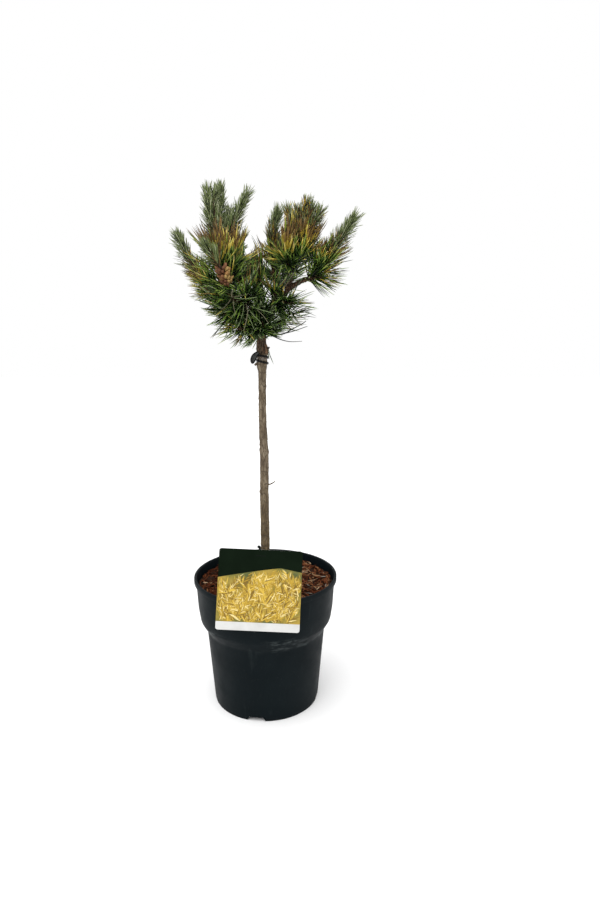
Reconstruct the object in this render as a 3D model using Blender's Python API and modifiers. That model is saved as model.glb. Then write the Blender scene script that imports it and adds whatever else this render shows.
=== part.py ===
"""A young mugo pine grafted on a bare stem, in its nursery pot, with bark mulch, a tie and a hang tag.

Metres, +Z up. The origin is the centre of the pot's flat underside, and the tag hangs on the -Y side.
"""

import math
import random

import bmesh
import bpy
import numpy as np
from mathutils import Matrix, Vector

# Clearance between pieces that touch, and the distance under which a curve's points are one
GAP = 0.0003
WELD = 0.000005
GOLDEN_ANGLE = math.radians(137.5)
SHARP_ANGLE = math.radians(40)

# Pot, turned about +Z
POT_SIDES = 36
POT_HEIGHT = 0.211
POT_WALL = 0.0016
RIM_RADIUS = 0.115
LIP_HEIGHT = 0.008
LIP_EDGE = 0.0008
BAND_TOP_RADIUS = 0.112
BAND_MIDDLE_RADIUS = 0.1092
BAND_MIDDLE_HEIGHT = 0.162
BAND_FOOT_RADIUS = 0.1060
BAND_FOOT_HEIGHT = 0.141
STEP_FOOT_RADIUS = 0.0958
STEP_FOOT_HEIGHT = 0.122
FOOT_RADIUS = 0.0855
FOOT_ROUND = 0.0025
BASE_DISC_RADIUS = 0.060
CHANNEL_HEIGHT = 0.007
CHANNEL_SLOPE = 0.003
NOTCHES = 4
NOTCH_HEIGHT = 0.0062
NOTCH_DEPTH = 0.0116
NOTCH_FOOT_WIDTH = 0.031
NOTCH_TOP_WIDTH = 0.023
NOTCH_ANGLE = math.radians(-98.4)
DRAIN_HOLES = 4
DRAIN_RADIUS = 0.005
DRAIN_CIRCLE = 0.0745
DRAIN_SIDES = 8
DRAIN_CUT = 0.0064

# Soil with bark mulch on it
SOIL_LEVEL = 0.1965
SOIL_CROWN = 0.0015
SOIL_SEAT_RADIUS = 0.016
CHIPS = 17
CHIP_LENGTH = (0.013, 0.026)
CHIP_WIDTH = (0.0028, 0.0045)
CHIP_THICKNESS = 0.0024
CHIP_LEAN = math.radians(14)
CHIP_TURN = 1.2
CHIP_INNER_RADIUS = 0.026
CHIP_OUTER_RADIUS = 0.090
CHIP_SEED = 11

# Trunk stations from the soil to the fork: height, offset along X, radius
TRUNK_SIDES = 12
TRUNK = (
    (0.1970, 0.0000, 0.0090),
    (0.2040, 0.0000, 0.0076),
    (0.2200, 0.0000, 0.0067),
    (0.2570, 0.0000, 0.0064),
    (0.3490, -0.0006, 0.0063),
    (0.4070, 0.0000, 0.0062),
    (0.4500, -0.0018, 0.0055),
    (0.4770, -0.0021, 0.0053),
    (0.5090, -0.0021, 0.0051),
    (0.5400, -0.0017, 0.0057),
    (0.5520, -0.0013, 0.0066),
    (0.5700, -0.0018, 0.0075),
    (0.5800, -0.0024, 0.0070),
    (0.5910, -0.0024, 0.0064),
    (0.6060, -0.0030, 0.0060),
    (0.6140, -0.0030, 0.0048),
)
# Cut twigs on the trunk: foot, tip, radius at the tip
SPUR_SIDES = 6
SPUR_FLARE = 1.5
SPURS = (
    ((-0.0045, 0.000, 0.5525), (-0.0130, -0.001, 0.5470), 0.0017),
    ((0.0030, 0.000, 0.5680), (0.0095, -0.001, 0.5745), 0.0010),
    ((0.0030, 0.000, 0.3602), (0.0165, -0.001, 0.3650), 0.0010),
)
# Knots on the trunk: height, angle about it, radius
KNOTS = ((0.348, 3.05, 0.0022), (0.412, 0.10, 0.0022), (0.416, 3.30, 0.0020), (0.515, -0.20, 0.0020),
         (0.537, 0.30, 0.0021))

# Rubber tie, two turns and one loop at the graft
TIE_SIDES = 6
TIE_START = math.radians(222)
TIE_STEPS = 26
TIE_THICKNESS = 0.0029
TIE_SLACK = 0.0004
TIE_FOOT = 0.5530
TIE_TURNS = 1.95
TIE_PITCH = 0.0092
TIE_LOOP = ((-0.0098, -0.0062, 0.5668), (-0.0140, -0.0066, 0.5652), (-0.0167, -0.0060, 0.5600),
            (-0.0164, -0.0056, 0.5545), (-0.0136, -0.0060, 0.5522))

# Hang tag, leaning on the rim, and its strap
TAG_WIDTH = 0.122
TAG_HEIGHT = 0.117
TAG_THICKNESS = 0.0006
TAG_CORNER = 0.0035
TAG_CORNER_STEPS = 4
TAG_LEAN = math.radians(15.6)
TAG_ROLL = math.radians(2.5)
TAG_CENTRE = (-0.0035, 0.2295)
STRAP_WIDTH = 0.006
STRAP_THICKNESS = 0.0008
STRAP_HEIGHT = 0.2462
STRAP_SLACK = 0.0003
STRAP_START = math.radians(-20)
STRAP_TURN = math.radians(205)
STRAP_STEPS = 14
STRAP_TONGUE = (-0.0125, -0.0030, 0.2545)

# Boughs: the trunk height that each leaves at, the points it passes, radius at both ends
BOUGH_SIDES = 6
BOUGH_STEPS = 3
BOUGHS = {
    "bough_left": (0.601, ((-0.023, -0.015, 0.622), (-0.037, -0.028, 0.639), (-0.046, -0.036, 0.653)),
                   0.0050, 0.0042),
    "bough_right": (0.600, ((0.017, -0.003, 0.629), (0.031, -0.008, 0.646), (0.0420, -0.0108, 0.673)),
                    0.0048, 0.0040),
    "bough_back_left": (0.598, ((-0.016, 0.022, 0.628), (-0.032, 0.042, 0.660)), 0.0044, 0.0036),
    "bough_back_right": (0.600, ((0.010, 0.026, 0.628), (0.026, 0.046, 0.660)), 0.0044, 0.0036),
    "bough_middle": (0.598, ((0.012, 0.010, 0.630), (0.020, 0.010, 0.664)), 0.0036, 0.0030),
}
# The far right bough leaves the right one below its tip
FAR_BOUGH = ((0.0375, -0.0097, 0.659), (0.056, -0.014, 0.6695), (0.069, -0.018, 0.6745), (0.080, -0.021, 0.680))
FAR_BOUGH_RADII = (0.0036, 0.0030)

# Shoots of each mass. The stem of last year starts on a limb and carries long needles. The new
# candles that grow on from its end carry short ones. A stem that carries on from a limb's tip
# names that limb, and one that leaves a limb's side gives its foot on the limb's axis.
MASSES = {
    "mass_tall_left": {
        "tip_of": "bough_left",
        "stem": ((-0.0520, -0.036, 0.678), (-0.0545, -0.035, 0.697)),
        "candles": (
            ((-0.0667, -0.038, 0.748), (-0.0710, -0.040, 0.786)),
            ((-0.0560, -0.027, 0.750), (-0.0550, -0.020, 0.795)),
            ((-0.0468, -0.014, 0.736), (-0.0457, -0.004, 0.764)),
            ((-0.0392, -0.032, 0.742), (-0.0190, -0.028, 0.784)),
        ),
    },
    "mass_front_left": {
        "side_of": "bough_left",
        "foot": (-0.0420, -0.0325, 0.6465),
        "stem": ((-0.0450, -0.056, 0.664), (-0.0500, -0.073, 0.683)),
        "candles": (((-0.0610, -0.084, 0.6975), (-0.0700, -0.093, 0.709)),),
        "cones": 9,
    },
    "mass_far_left": {
        "side_of": "bough_left",
        "foot": (-0.0405, -0.0310, 0.6440),
        "stem": ((-0.0696, -0.032, 0.6590), (-0.0900, -0.026, 0.6750)),
        "length": 0.80,
        "candles": (((-0.1061, -0.020, 0.704), (-0.1215, -0.012, 0.731)),),
    },
    "mass_inner_left": {
        "side_of": "bough_left",
        "foot": (-0.0265, -0.0185, 0.6265),
        "stem": ((-0.0215, -0.036, 0.638), (-0.0230, -0.056, 0.654)),
    },
    "mass_inner_right": {
        "side_of": "bough_right",
        "foot": (0.0210, -0.0043, 0.6338),
        "stem": ((0.0290, -0.024, 0.633), (0.0440, -0.042, 0.642)),
    },
    "mass_low_left": {
        "side_of": "trunk",
        "foot": (-0.0026, 0.0, 0.5935),
        "stem": ((-0.0260, -0.012, 0.604), (-0.0540, -0.028, 0.623)),
        "drooping": True,
    },
    "mass_low_front": {
        "side_of": "trunk",
        "foot": (-0.0026, 0.0, 0.5905),
        "stem": ((-0.0030, -0.026, 0.597), (0.0010, -0.044, 0.607)),
        "drooping": True,
    },
    "mass_low_right": {
        "side_of": "trunk",
        "foot": (-0.0026, 0.0, 0.5935),
        "stem": ((0.0180, -0.008, 0.605), (0.0420, -0.014, 0.625)),
        "length": 0.86,
        "drooping": True,
    },
    "mass_low_back": {
        "side_of": "trunk",
        "foot": (-0.0026, 0.0, 0.5905),
        "stem": ((-0.0030, 0.026, 0.598), (-0.0020, 0.048, 0.612)),
        "drooping": True,
    },
    "mass_centre": {
        "tip_of": "trunk",
        "stem": ((-0.0010, -0.007, 0.638), (-0.0029, -0.014, 0.6606), (-0.0081, -0.020, 0.678)),
        "candles": (((-0.0090, -0.022, 0.6830), (-0.0100, -0.024, 0.690)),),
    },
    "mass_middle": {
        "tip_of": "bough_middle",
        "stem": ((0.0180, 0.011, 0.680), (0.0138, 0.014, 0.697)),
        "candles": (((0.0150, 0.019, 0.7377), (0.0215, 0.024, 0.768)),),
    },
    "mass_right": {
        "tip_of": "bough_right",
        "stem": ((0.0445, -0.012, 0.688), (0.0505, -0.016, 0.716)),
        "candles": (
            ((0.0440, -0.018, 0.745), (0.0390, -0.012, 0.766)),
            ((0.0587, -0.024, 0.750), (0.0643, -0.028, 0.772)),
            ((0.0700, -0.030, 0.739), (0.0820, -0.040, 0.758)),
        ),
    },
    "mass_far_right": {
        "tip_of": "bough_far_right",
        "stem": ((0.0900, -0.025, 0.6890), (0.0975, -0.028, 0.7000)),
        "length": 0.86,
        "drooping": True,
        "candles": (((0.1168, -0.033, 0.7313), (0.1310, -0.038, 0.752)),),
    },
    "mass_back_left": {
        "tip_of": "bough_back_left",
        "stem": ((-0.0400, 0.052, 0.682), (-0.0460, 0.060, 0.702)),
        "candles": (
            ((-0.0530, 0.070, 0.728), (-0.0600, 0.080, 0.757)),
            ((-0.0400, 0.074, 0.720), (-0.0330, 0.088, 0.742)),
        ),
    },
    "mass_back_right": {
        "tip_of": "bough_back_right",
        "stem": ((0.0330, 0.056, 0.682), (0.0380, 0.064, 0.700)),
        "candles": (
            ((0.0460, 0.074, 0.722), (0.0540, 0.084, 0.748)),
            ((0.0270, 0.078, 0.720), (0.0200, 0.092, 0.738)),
        ),
    },
}

# Stems of last year and candles of this one
STEM_RADIUS = (0.0030, 0.0022)
STEM_COLLAR = 0.004
CANDLE_RADIUS = (0.0026, 0.0016)
SHOOT_SIDES = 4
SHOOT_STEPS = 2

# Needles: length, number on a shoot, angle to the shoot in degrees at its foot and tip, bare share of the shoot
OLD_LENGTH = 0.050
OLD_COUNT = 28
OLD_SPREAD = (78, 32)
DROOP_SPREAD = (98, 30)
OLD_BARE = 0.10
NEW_LENGTH = 0.0260
NEW_COUNT = 11
NEW_SPREAD = (34, 17)
NEW_BARE = 0.30
# How much a needle's angle, its turn about the shoot and its length vary
SPREAD_RANGE = 9
TURN_RANGE = 0.35
LENGTH_RANGE = (0.88, 1.08)
# A needle is thickest at its waist
NEEDLE_SIDES = 3
NEEDLE_FOOT_RADIUS = 0.0006
OLD_NEEDLE_RADIUS = 0.0020
NEW_NEEDLE_RADIUS = 0.0018
NEEDLE_WAIST = 0.55
# Where a needle's space is tested, and how far it keeps from other masses and from its own mass's needles
SAMPLES = 9
SPACE_MARGIN = 0.0021
NEEDLE_FOOT = 0.18
NEEDLE_SPACING = 0.0025
# A needle without space is tried again, turned further and shorter
TRIES = 12
RETRY_TURN = 0.9
RETRY_SHORTER = 0.05
NEEDLE_SEED = 100

# Pollen cones: size, share of the candle from its foot, angle to it in degrees, middle between foot and tip
CONE_LENGTH = 0.0085
CONE_RADIUS = 0.0026
CONE_FOOT = 0.06
CONE_RANGE = 0.30
CONE_SPREAD = (55, 75)
CONE_MIDDLE = 0.65
CONE_SIDES = 4
CONE_RINGS = 3

# Colour, roughness and metallic value of each material
MATERIALS = {
    "pot_plastic": ((0.012, 0.016, 0.017), 0.45, 0.0),
    "bark_mulch": ((0.16, 0.075, 0.045), 0.9, 0.0),
    "bark": ((0.19, 0.14, 0.10), 0.85, 0.0),
    "tie_rubber": ((0.008, 0.008, 0.009), 0.4, 0.0),
    "tag_card": ((0.62, 0.45, 0.08), 0.35, 0.0),
    "strap_plastic": ((0.01, 0.02, 0.015), 0.35, 0.0),
    "needles": ((0.10, 0.16, 0.05), 0.55, 0.0),
}


def clear_scene():
    """Start from an empty file with one collection for the plant and one for the cutters."""
    for thing in list(bpy.data.objects):
        bpy.data.objects.remove(thing)
    collections = []
    for name in ("mugo_pine", "cutters", "joining"):
        collection = bpy.data.collections.new(name)
        bpy.context.scene.collection.children.link(collection)
        collections.append(collection)
    return collections


def make_material(name):
    """A Principled material with one of the named finishes."""
    colour, roughness, metallic = MATERIALS[name]
    material = bpy.data.materials.new(name)
    material.use_nodes = True
    shader = material.node_tree.nodes["Principled BSDF"]
    shader.inputs["Base Color"].default_value = (*colour, 1.0)
    shader.inputs["Roughness"].default_value = roughness
    shader.inputs["Metallic"].default_value = metallic
    return material


def add_object(name, data, collection, material=None):
    """Put a mesh or curve in a collection as a named object."""
    thing = bpy.data.objects.new(name, data)
    collection.objects.link(thing)
    if material:
        data.materials.append(material)
    return thing


def hide_cutter(thing):
    """A cutter shows as wire and isn't rendered."""
    thing.hide_render = True
    thing.display_type = "WIRE"


def mesh_from(bm, name):
    """Finish a bmesh with its faces pointing out."""
    bmesh.ops.recalc_face_normals(bm, faces=bm.faces)
    mesh = bpy.data.meshes.new(name)
    bm.to_mesh(mesh)
    bm.free()
    return mesh


def frozen(thing, weld=WELD):
    """The object's evaluated mesh in place of its curve or modifiers, with a curve's caps welded."""
    bpy.context.view_layer.update()
    graph = bpy.context.evaluated_depsgraph_get()
    baked = bpy.data.meshes.new_from_object(thing.evaluated_get(graph))
    bm = bmesh.new()
    bm.from_mesh(baked)
    if weld:
        bmesh.ops.remove_doubles(bm, verts=bm.verts, dist=weld)
    bmesh.ops.recalc_face_normals(bm, faces=bm.faces)
    bm.to_mesh(baked)
    bm.free()
    name, collection, place = thing.name, thing.users_collection[0], thing.matrix_world.copy()
    bpy.data.objects.remove(thing)
    solid = bpy.data.objects.new(name, baked)
    solid.matrix_world = place
    collection.objects.link(solid)
    return solid


def smooth_path(points, steps):
    """Points along a smooth curve that passes through all the given ones."""
    points = [Vector(point) for point in points]
    ends = [2 * points[0] - points[1], *points, 2 * points[-1] - points[-2]]
    path = []
    for before, start, end, after in zip(ends, ends[1:], ends[2:], ends[3:]):
        for step in range(steps):
            t = step / steps
            path.append(0.5 * (2 * start + (end - before) * t
                               + (2 * before - 5 * start + 4 * end - after) * t ** 2
                               + (3 * start - before - 3 * end + after) * t ** 3))
    return path + [points[-1]]


def tapered(count, radii):
    """Radii that change evenly from the first to the last."""
    return [radii[0] + (radii[1] - radii[0]) * i / (count - 1) for i in range(count)]


def tube(name, path, radii, sides, collection, material=None):
    """A solid tube with flat ends along a path, with a radius at each point."""
    curve = bpy.data.curves.new(name, "CURVE")
    curve.dimensions = "3D"
    curve.bevel_depth = max(radii)
    curve.bevel_resolution = (sides - 4) // 2
    curve.use_fill_caps = True
    spline = curve.splines.new("POLY")
    spline.points.add(len(path) - 1)
    for point, place, radius in zip(spline.points, path, radii):
        point.co = (*place, 1.0)
        point.radius = radius / curve.bevel_depth
    solid = frozen(add_object(name, curve, collection))
    if material:
        solid.data.materials.append(material)
    return solid


def turned(name, profile, sides, collection, material):
    """A profile of radius and height, turned about Z, from the axis back to the axis."""
    mesh = bpy.data.meshes.new(name)
    edges = [(i, i + 1) for i in range(len(profile) - 1)]
    mesh.from_pydata([(radius, 0.0, height) for radius, height in profile], edges, [])
    thing = add_object(name, mesh, collection, material)
    screw = thing.modifiers.new("turn", "SCREW")
    screw.axis = "Z"
    screw.steps = screw.render_steps = sides
    screw.use_merge_vertices = True
    screw.merge_threshold = 2 * WELD
    screw.use_smooth_shade = True
    return thing


def boolean(thing, operation, operand, name):
    """Cut an object by another, or join it with a collection."""
    modifier = thing.modifiers.new(name, "BOOLEAN")
    modifier.operation = operation
    modifier.solver = "EXACT"
    if isinstance(operand, bpy.types.Collection):
        modifier.operand_type = "COLLECTION"
        modifier.collection = operand
    else:
        modifier.object = operand


def drop_scraps(mesh):
    """Keep the largest connected body of a mesh, so that no sealed hollow or loose scrap is left."""
    bm = bmesh.new()
    bm.from_mesh(mesh)
    left = set(bm.verts)
    bodies = []
    while left:
        body, front = set(), {left.pop()}
        while front:
            body |= front
            front = {edge.other_vert(vert) for vert in front for edge in vert.link_edges} - body
        left -= body
        bodies.append(body)
    bodies.sort(key=len)
    for body in bodies[:-1]:
        bmesh.ops.delete(bm, geom=list(body), context="VERTS")
    bm.to_mesh(mesh)
    bm.free()


def joined(thing, joining):
    """Fuse everything in the joining collection onto the object, then remove what was fused."""
    material = thing.data.materials[0]
    boolean(thing, "UNION", joining, "join")
    solid = frozen(thing, weld=0)
    for part in list(joining.objects):
        bpy.data.objects.remove(part)
    drop_scraps(solid.data)
    solid.data.materials.clear()
    solid.data.materials.append(material)
    solid.data.polygons.foreach_set("material_index", [0] * len(solid.data.polygons))
    solid.data.update()
    return solid


def turn_to(direction):
    """The rotation that points +Z along a direction."""
    return Vector(direction).to_track_quat("Z", "Y").to_matrix().to_4x4()


def pot_inner_wall(clearance):
    """The pot's inner surface from the floor's centre to the top, moved inward by a clearance."""
    return [
        (BASE_DISC_RADIUS - clearance, POT_WALL + clearance),
        (BASE_DISC_RADIUS + CHANNEL_SLOPE - clearance, POT_WALL + CHANNEL_HEIGHT + clearance),
        (FOOT_RADIUS - POT_WALL - clearance, POT_WALL + CHANNEL_HEIGHT + clearance),
        (STEP_FOOT_RADIUS - POT_WALL - clearance, STEP_FOOT_HEIGHT + POT_WALL / 2),
        (BAND_FOOT_RADIUS - POT_WALL - clearance, BAND_FOOT_HEIGHT + POT_WALL / 2),
        (BAND_MIDDLE_RADIUS - POT_WALL - clearance, BAND_MIDDLE_HEIGHT),
    ]


def make_pot(plant, cutters):
    """The turned pot with a raised drain channel, notches in its foot and drain holes."""
    profile = [
        (0.0, POT_WALL),
        *pot_inner_wall(0.0),
        (BAND_TOP_RADIUS - POT_WALL, POT_HEIGHT - LIP_EDGE),
        (BAND_TOP_RADIUS, POT_HEIGHT),
        (RIM_RADIUS - LIP_EDGE, POT_HEIGHT),
        (RIM_RADIUS, POT_HEIGHT - LIP_EDGE),
        (RIM_RADIUS, POT_HEIGHT - LIP_HEIGHT),
        (BAND_TOP_RADIUS, POT_HEIGHT - LIP_HEIGHT - LIP_EDGE),
        (BAND_MIDDLE_RADIUS, BAND_MIDDLE_HEIGHT),
        (BAND_FOOT_RADIUS, BAND_FOOT_HEIGHT),
        (STEP_FOOT_RADIUS, STEP_FOOT_HEIGHT),
        (FOOT_RADIUS, FOOT_ROUND),
        (FOOT_RADIUS - FOOT_ROUND / 2, 0.0),
        (FOOT_RADIUS - POT_WALL, 0.0),
        (FOOT_RADIUS - POT_WALL, CHANNEL_HEIGHT),
        (BASE_DISC_RADIUS + POT_WALL + CHANNEL_SLOPE, CHANNEL_HEIGHT),
        (BASE_DISC_RADIUS + POT_WALL, 0.0),
        (0.0, 0.0),
    ]
    pot = turned("pot", profile, POT_SIDES, plant, make_material("pot_plastic"))
    for i in range(NOTCHES):
        bm = bmesh.new()
        bmesh.ops.create_cube(bm, size=1.0)
        for vert in bm.verts:
            width = NOTCH_TOP_WIDTH if vert.co.z > 0 else NOTCH_FOOT_WIDTH
            height = NOTCH_HEIGHT if vert.co.z > 0 else -NOTCH_HEIGHT / 4
            vert.co = (FOOT_RADIUS + vert.co.x * NOTCH_DEPTH, vert.co.y * width, height)
        notch = add_object(f"notch_cutter_{i + 1}", mesh_from(bm, "notch_cutter"), cutters)
        notch.rotation_euler.z = NOTCH_ANGLE + math.tau * i / NOTCHES
        hide_cutter(notch)
        boolean(pot, "DIFFERENCE", notch, f"notch_{i + 1}")
    for i in range(DRAIN_HOLES):
        angle = NOTCH_ANGLE + math.tau * (i + 0.5) / DRAIN_HOLES
        bm = bmesh.new()
        bmesh.ops.create_cone(bm, cap_ends=True, segments=DRAIN_SIDES, radius1=DRAIN_RADIUS,
                              radius2=DRAIN_RADIUS, depth=DRAIN_CUT)
        drain = add_object(f"drain_cutter_{i + 1}", mesh_from(bm, "drain_cutter"), cutters)
        drain.location = (DRAIN_CIRCLE * math.cos(angle), DRAIN_CIRCLE * math.sin(angle),
                          CHANNEL_HEIGHT + POT_WALL / 2)
        hide_cutter(drain)
        boolean(pot, "DIFFERENCE", drain, f"drain_{i + 1}")


def make_soil(plant, joining):
    """The root ball that fills the pot, with strips of bark fused on its top."""
    rim = BAND_MIDDLE_RADIUS - POT_WALL - GAP
    rise = (SOIL_LEVEL - BAND_MIDDLE_HEIGHT) / (POT_HEIGHT - BAND_MIDDLE_HEIGHT)
    rim += (BAND_TOP_RADIUS - BAND_MIDDLE_RADIUS) * rise
    profile = [
        (0.0, SOIL_LEVEL),
        (SOIL_SEAT_RADIUS, SOIL_LEVEL),
        (rim / 2, SOIL_LEVEL + SOIL_CROWN),
        (rim, SOIL_LEVEL),
        *reversed(pot_inner_wall(GAP)),
        (0.0, POT_WALL + GAP),
    ]
    soil = turned("soil", profile, POT_SIDES, plant, make_material("bark_mulch"))
    rng = random.Random(CHIP_SEED)
    for i in range(CHIPS):
        radius = math.sqrt(rng.uniform(CHIP_INNER_RADIUS ** 2, CHIP_OUTER_RADIUS ** 2))
        angle = GOLDEN_ANGLE * i
        size = (rng.uniform(*CHIP_LENGTH), rng.uniform(*CHIP_WIDTH), CHIP_THICKNESS)
        bm = bmesh.new()
        bmesh.ops.create_cube(bm, size=1.0, matrix=Matrix.Diagonal((*size, 1.0)))
        chip = add_object(f"chip_{i + 1}", mesh_from(bm, "chip"), joining, soil.data.materials[0])
        height = SOIL_LEVEL + SOIL_CROWN * (1 - abs(2 * radius / rim - 1)) + CHIP_THICKNESS / 4
        chip.location = (radius * math.cos(angle), radius * math.sin(angle), height)
        turn = angle + math.pi / 2 + rng.uniform(-CHIP_TURN, CHIP_TURN)
        chip.rotation_euler = (rng.uniform(-CHIP_LEAN, CHIP_LEAN), rng.uniform(-CHIP_LEAN, CHIP_LEAN) / 2, turn)
    joined(soil, joining)


def trunk_at(height):
    """The trunk's axis point and radius at a height."""
    heights, offsets, radii = zip(*TRUNK)
    return Vector((np.interp(height, heights, offsets), 0.0, height)), float(np.interp(height, heights, radii))


def trunk_path():
    """The trunk's axis points and the radius at each."""
    return [trunk_at(height)[0] for height, _, _ in TRUNK], [radius for _, _, radius in TRUNK]


def level(angle):
    """The level direction at an angle about +Z."""
    return Vector((math.cos(angle), math.sin(angle), 0.0))


def make_trunk(plant, joining):
    """The trunk from its flat cut at the soil to the fork, with cut twigs and knots fused on."""
    bark = make_material("bark")
    trunk = tube("trunk", *trunk_path(), TRUNK_SIDES, plant, bark)
    for i, (foot, tip, radius) in enumerate(SPURS):
        path = [Vector(foot), Vector(tip)]
        tube(f"spur_{i + 1}", path, [radius * SPUR_FLARE, radius], SPUR_SIDES, joining, bark)
    for i, (height, angle, size) in enumerate(KNOTS):
        bm = bmesh.new()
        bmesh.ops.create_icosphere(bm, subdivisions=1, radius=size)
        knot = add_object(f"knot_{i + 1}", mesh_from(bm, "knot"), joining, bark)
        axis, radius = trunk_at(height)
        knot.location = axis + (radius - size / 4) * level(angle)
    joined(trunk, joining)


def make_tie(plant):
    """The rubber tie: a loop at the left that runs into two turns round the graft."""
    turn_radius = trunk_at(TIE_FOOT + TIE_PITCH)[1] + GAP + TIE_THICKNESS / 2 + TIE_SLACK
    path = smooth_path(TIE_LOOP, 2)
    for step in range(TIE_STEPS + 1):
        turns = TIE_TURNS * step / TIE_STEPS
        axis = trunk_at(TIE_FOOT + TIE_PITCH * turns)[0]
        path.append(axis + turn_radius * level(TIE_START + math.tau * turns))
    tube("tie", path, [TIE_THICKNESS / 2] * len(path), TIE_SIDES, plant, make_material("tie_rubber"))


def tag_place():
    """The tag's plane: it leans back until its back is a gap clear of the pot's rim."""
    lean = Matrix.Rotation(math.radians(90) - TAG_LEAN, 4, "X") @ Matrix.Rotation(-TAG_ROLL, 4, "Z")
    rim_point = Vector((0.0, -RIM_RADIUS, POT_HEIGHT))
    normal = lean.to_3x3() @ Vector((0.0, 0.0, 1.0))
    x, z = TAG_CENTRE
    clear = GAP + TAG_THICKNESS / 2
    y = rim_point.y + (clear + normal.z * (rim_point.z - z) + normal.x * (rim_point.x - x)) / normal.y
    return Matrix.Translation((x, y, z)) @ lean


def make_tag(plant):
    """The flat hang tag with round corners."""
    curve = bpy.data.curves.new("tag", "CURVE")
    curve.dimensions = "2D"
    curve.fill_mode = "BOTH"
    curve.extrude = TAG_THICKNESS / 2
    outline = []
    for corner in range(4):
        turn = math.pi / 2 * corner
        side_x = 1 if corner in (0, 3) else -1
        side_y = 1 if corner in (0, 1) else -1
        for step in range(TAG_CORNER_STEPS + 1):
            angle = turn + math.pi / 2 * step / TAG_CORNER_STEPS
            outline.append((side_x * (TAG_WIDTH / 2 - TAG_CORNER) + TAG_CORNER * math.cos(angle),
                            side_y * (TAG_HEIGHT / 2 - TAG_CORNER) + TAG_CORNER * math.sin(angle)))
    spline = curve.splines.new("POLY")
    spline.points.add(len(outline) - 1)
    for point, (x, y) in zip(spline.points, outline):
        point.co = (x, y, 0.0, 1.0)
    spline.use_cyclic_u = True
    tag = add_object("tag", curve, plant)
    tag.matrix_world = tag_place()
    frozen(tag).data.materials.append(make_material("tag_card"))


def make_strap(plant):
    """The tag's strap: from behind the tag's top edge, round the trunk, to a short tongue."""
    top = tag_place() @ Vector((0.0, TAG_HEIGHT / 2 - STRAP_WIDTH, -TAG_THICKNESS / 2 - GAP - STRAP_THICKNESS))
    axis, radius = trunk_at(STRAP_HEIGHT)
    loop_radius = radius + GAP + STRAP_THICKNESS / 2 + STRAP_SLACK
    path = [top, top.lerp(Vector((loop_radius, axis.y, STRAP_HEIGHT)), 0.5)]
    for step in range(STRAP_STEPS + 1):
        path.append(axis + loop_radius * level(STRAP_START + STRAP_TURN * step / STRAP_STEPS))
    path.append(Vector(STRAP_TONGUE))
    curve = bpy.data.curves.new("tag_strap", "CURVE")
    curve.dimensions = "3D"
    curve.extrude = STRAP_WIDTH / 2
    curve.twist_mode = "Z_UP"
    spline = curve.splines.new("POLY")
    spline.points.add(len(path) - 1)
    for point, place in zip(spline.points, path):
        point.co = (*place, 1.0)
    strap = frozen(add_object("tag_strap", curve, plant))
    thick = strap.modifiers.new("thick", "SOLIDIFY")
    thick.thickness = STRAP_THICKNESS
    thick.offset = 0.0
    frozen(strap).data.materials.append(make_material("strap_plastic"))


def grown_limb(name, path, radii, sides, cutters):
    """A cutter for what meets a limb: the limb grown by the gap all round and past its tip."""
    tip = path[-1] + GAP * (path[-1] - path[-2]).normalized()
    cutter = tube(f"{name}_cutter", [*path[:-1], tip], [radius + GAP for radius in radii], sides, cutters)
    hide_cutter(cutter)
    return cutter


def make_boughs(plant, cutters):
    """Each bough as one tapering limb, cut a gap clear of the trunk and of the boughs before it."""
    limbs = {"trunk": trunk_path()}
    cutting = [grown_limb("trunk", *limbs["trunk"], TRUNK_SIDES, cutters)]
    routes = {name: ((trunk_at(height)[0], *points), (thick, thin))
              for name, (height, points, thick, thin) in BOUGHS.items()}
    routes["bough_far_right"] = (FAR_BOUGH, FAR_BOUGH_RADII)
    for name, (points, radii) in routes.items():
        path = smooth_path(points, BOUGH_STEPS)
        thickness = tapered(len(path), radii)
        limbs[name] = (path, thickness)
        bough = tube(name, path, thickness, BOUGH_SIDES, plant, make_material("bark"))
        for cutter in cutting:
            boolean(bough, "DIFFERENCE", cutter, cutter.name)
        cutting.append(grown_limb(name, path, thickness, BOUGH_SIDES, cutters))
    return limbs


def distance_to_segments(points, starts, ends):
    """The distance of every point to every segment."""
    along = ends - starts
    offset = points[:, None, :] - starts[None, :, :]
    share = np.einsum("psk,sk->ps", offset, along) / np.einsum("sk,sk->s", along, along)
    nearest = offset - np.clip(share, 0.0, 1.0)[:, :, None] * along[None, :, :]
    return np.linalg.norm(nearest, axis=2)


def shoots_of(mass, limbs):
    """The mass's shoots: its stem of last year, then its new candles, each a smooth path."""
    if "tip_of" in mass:
        path = limbs[mass["tip_of"]][0]
        direction = (path[-1] - path[-2]).normalized()
        start = path[-1] + GAP * direction
        stem = [start] + smooth_path((start + STEM_COLLAR * direction, *mass["stem"]), SHOOT_STEPS)
    else:
        stem = smooth_path((mass["foot"], *mass["stem"]), SHOOT_STEPS)
    shoots = [("old", stem)]
    for points in mass.get("candles", ()):
        shoots.append(("new", smooth_path((stem[-2], *points), SHOOT_STEPS)))
    return shoots


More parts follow.
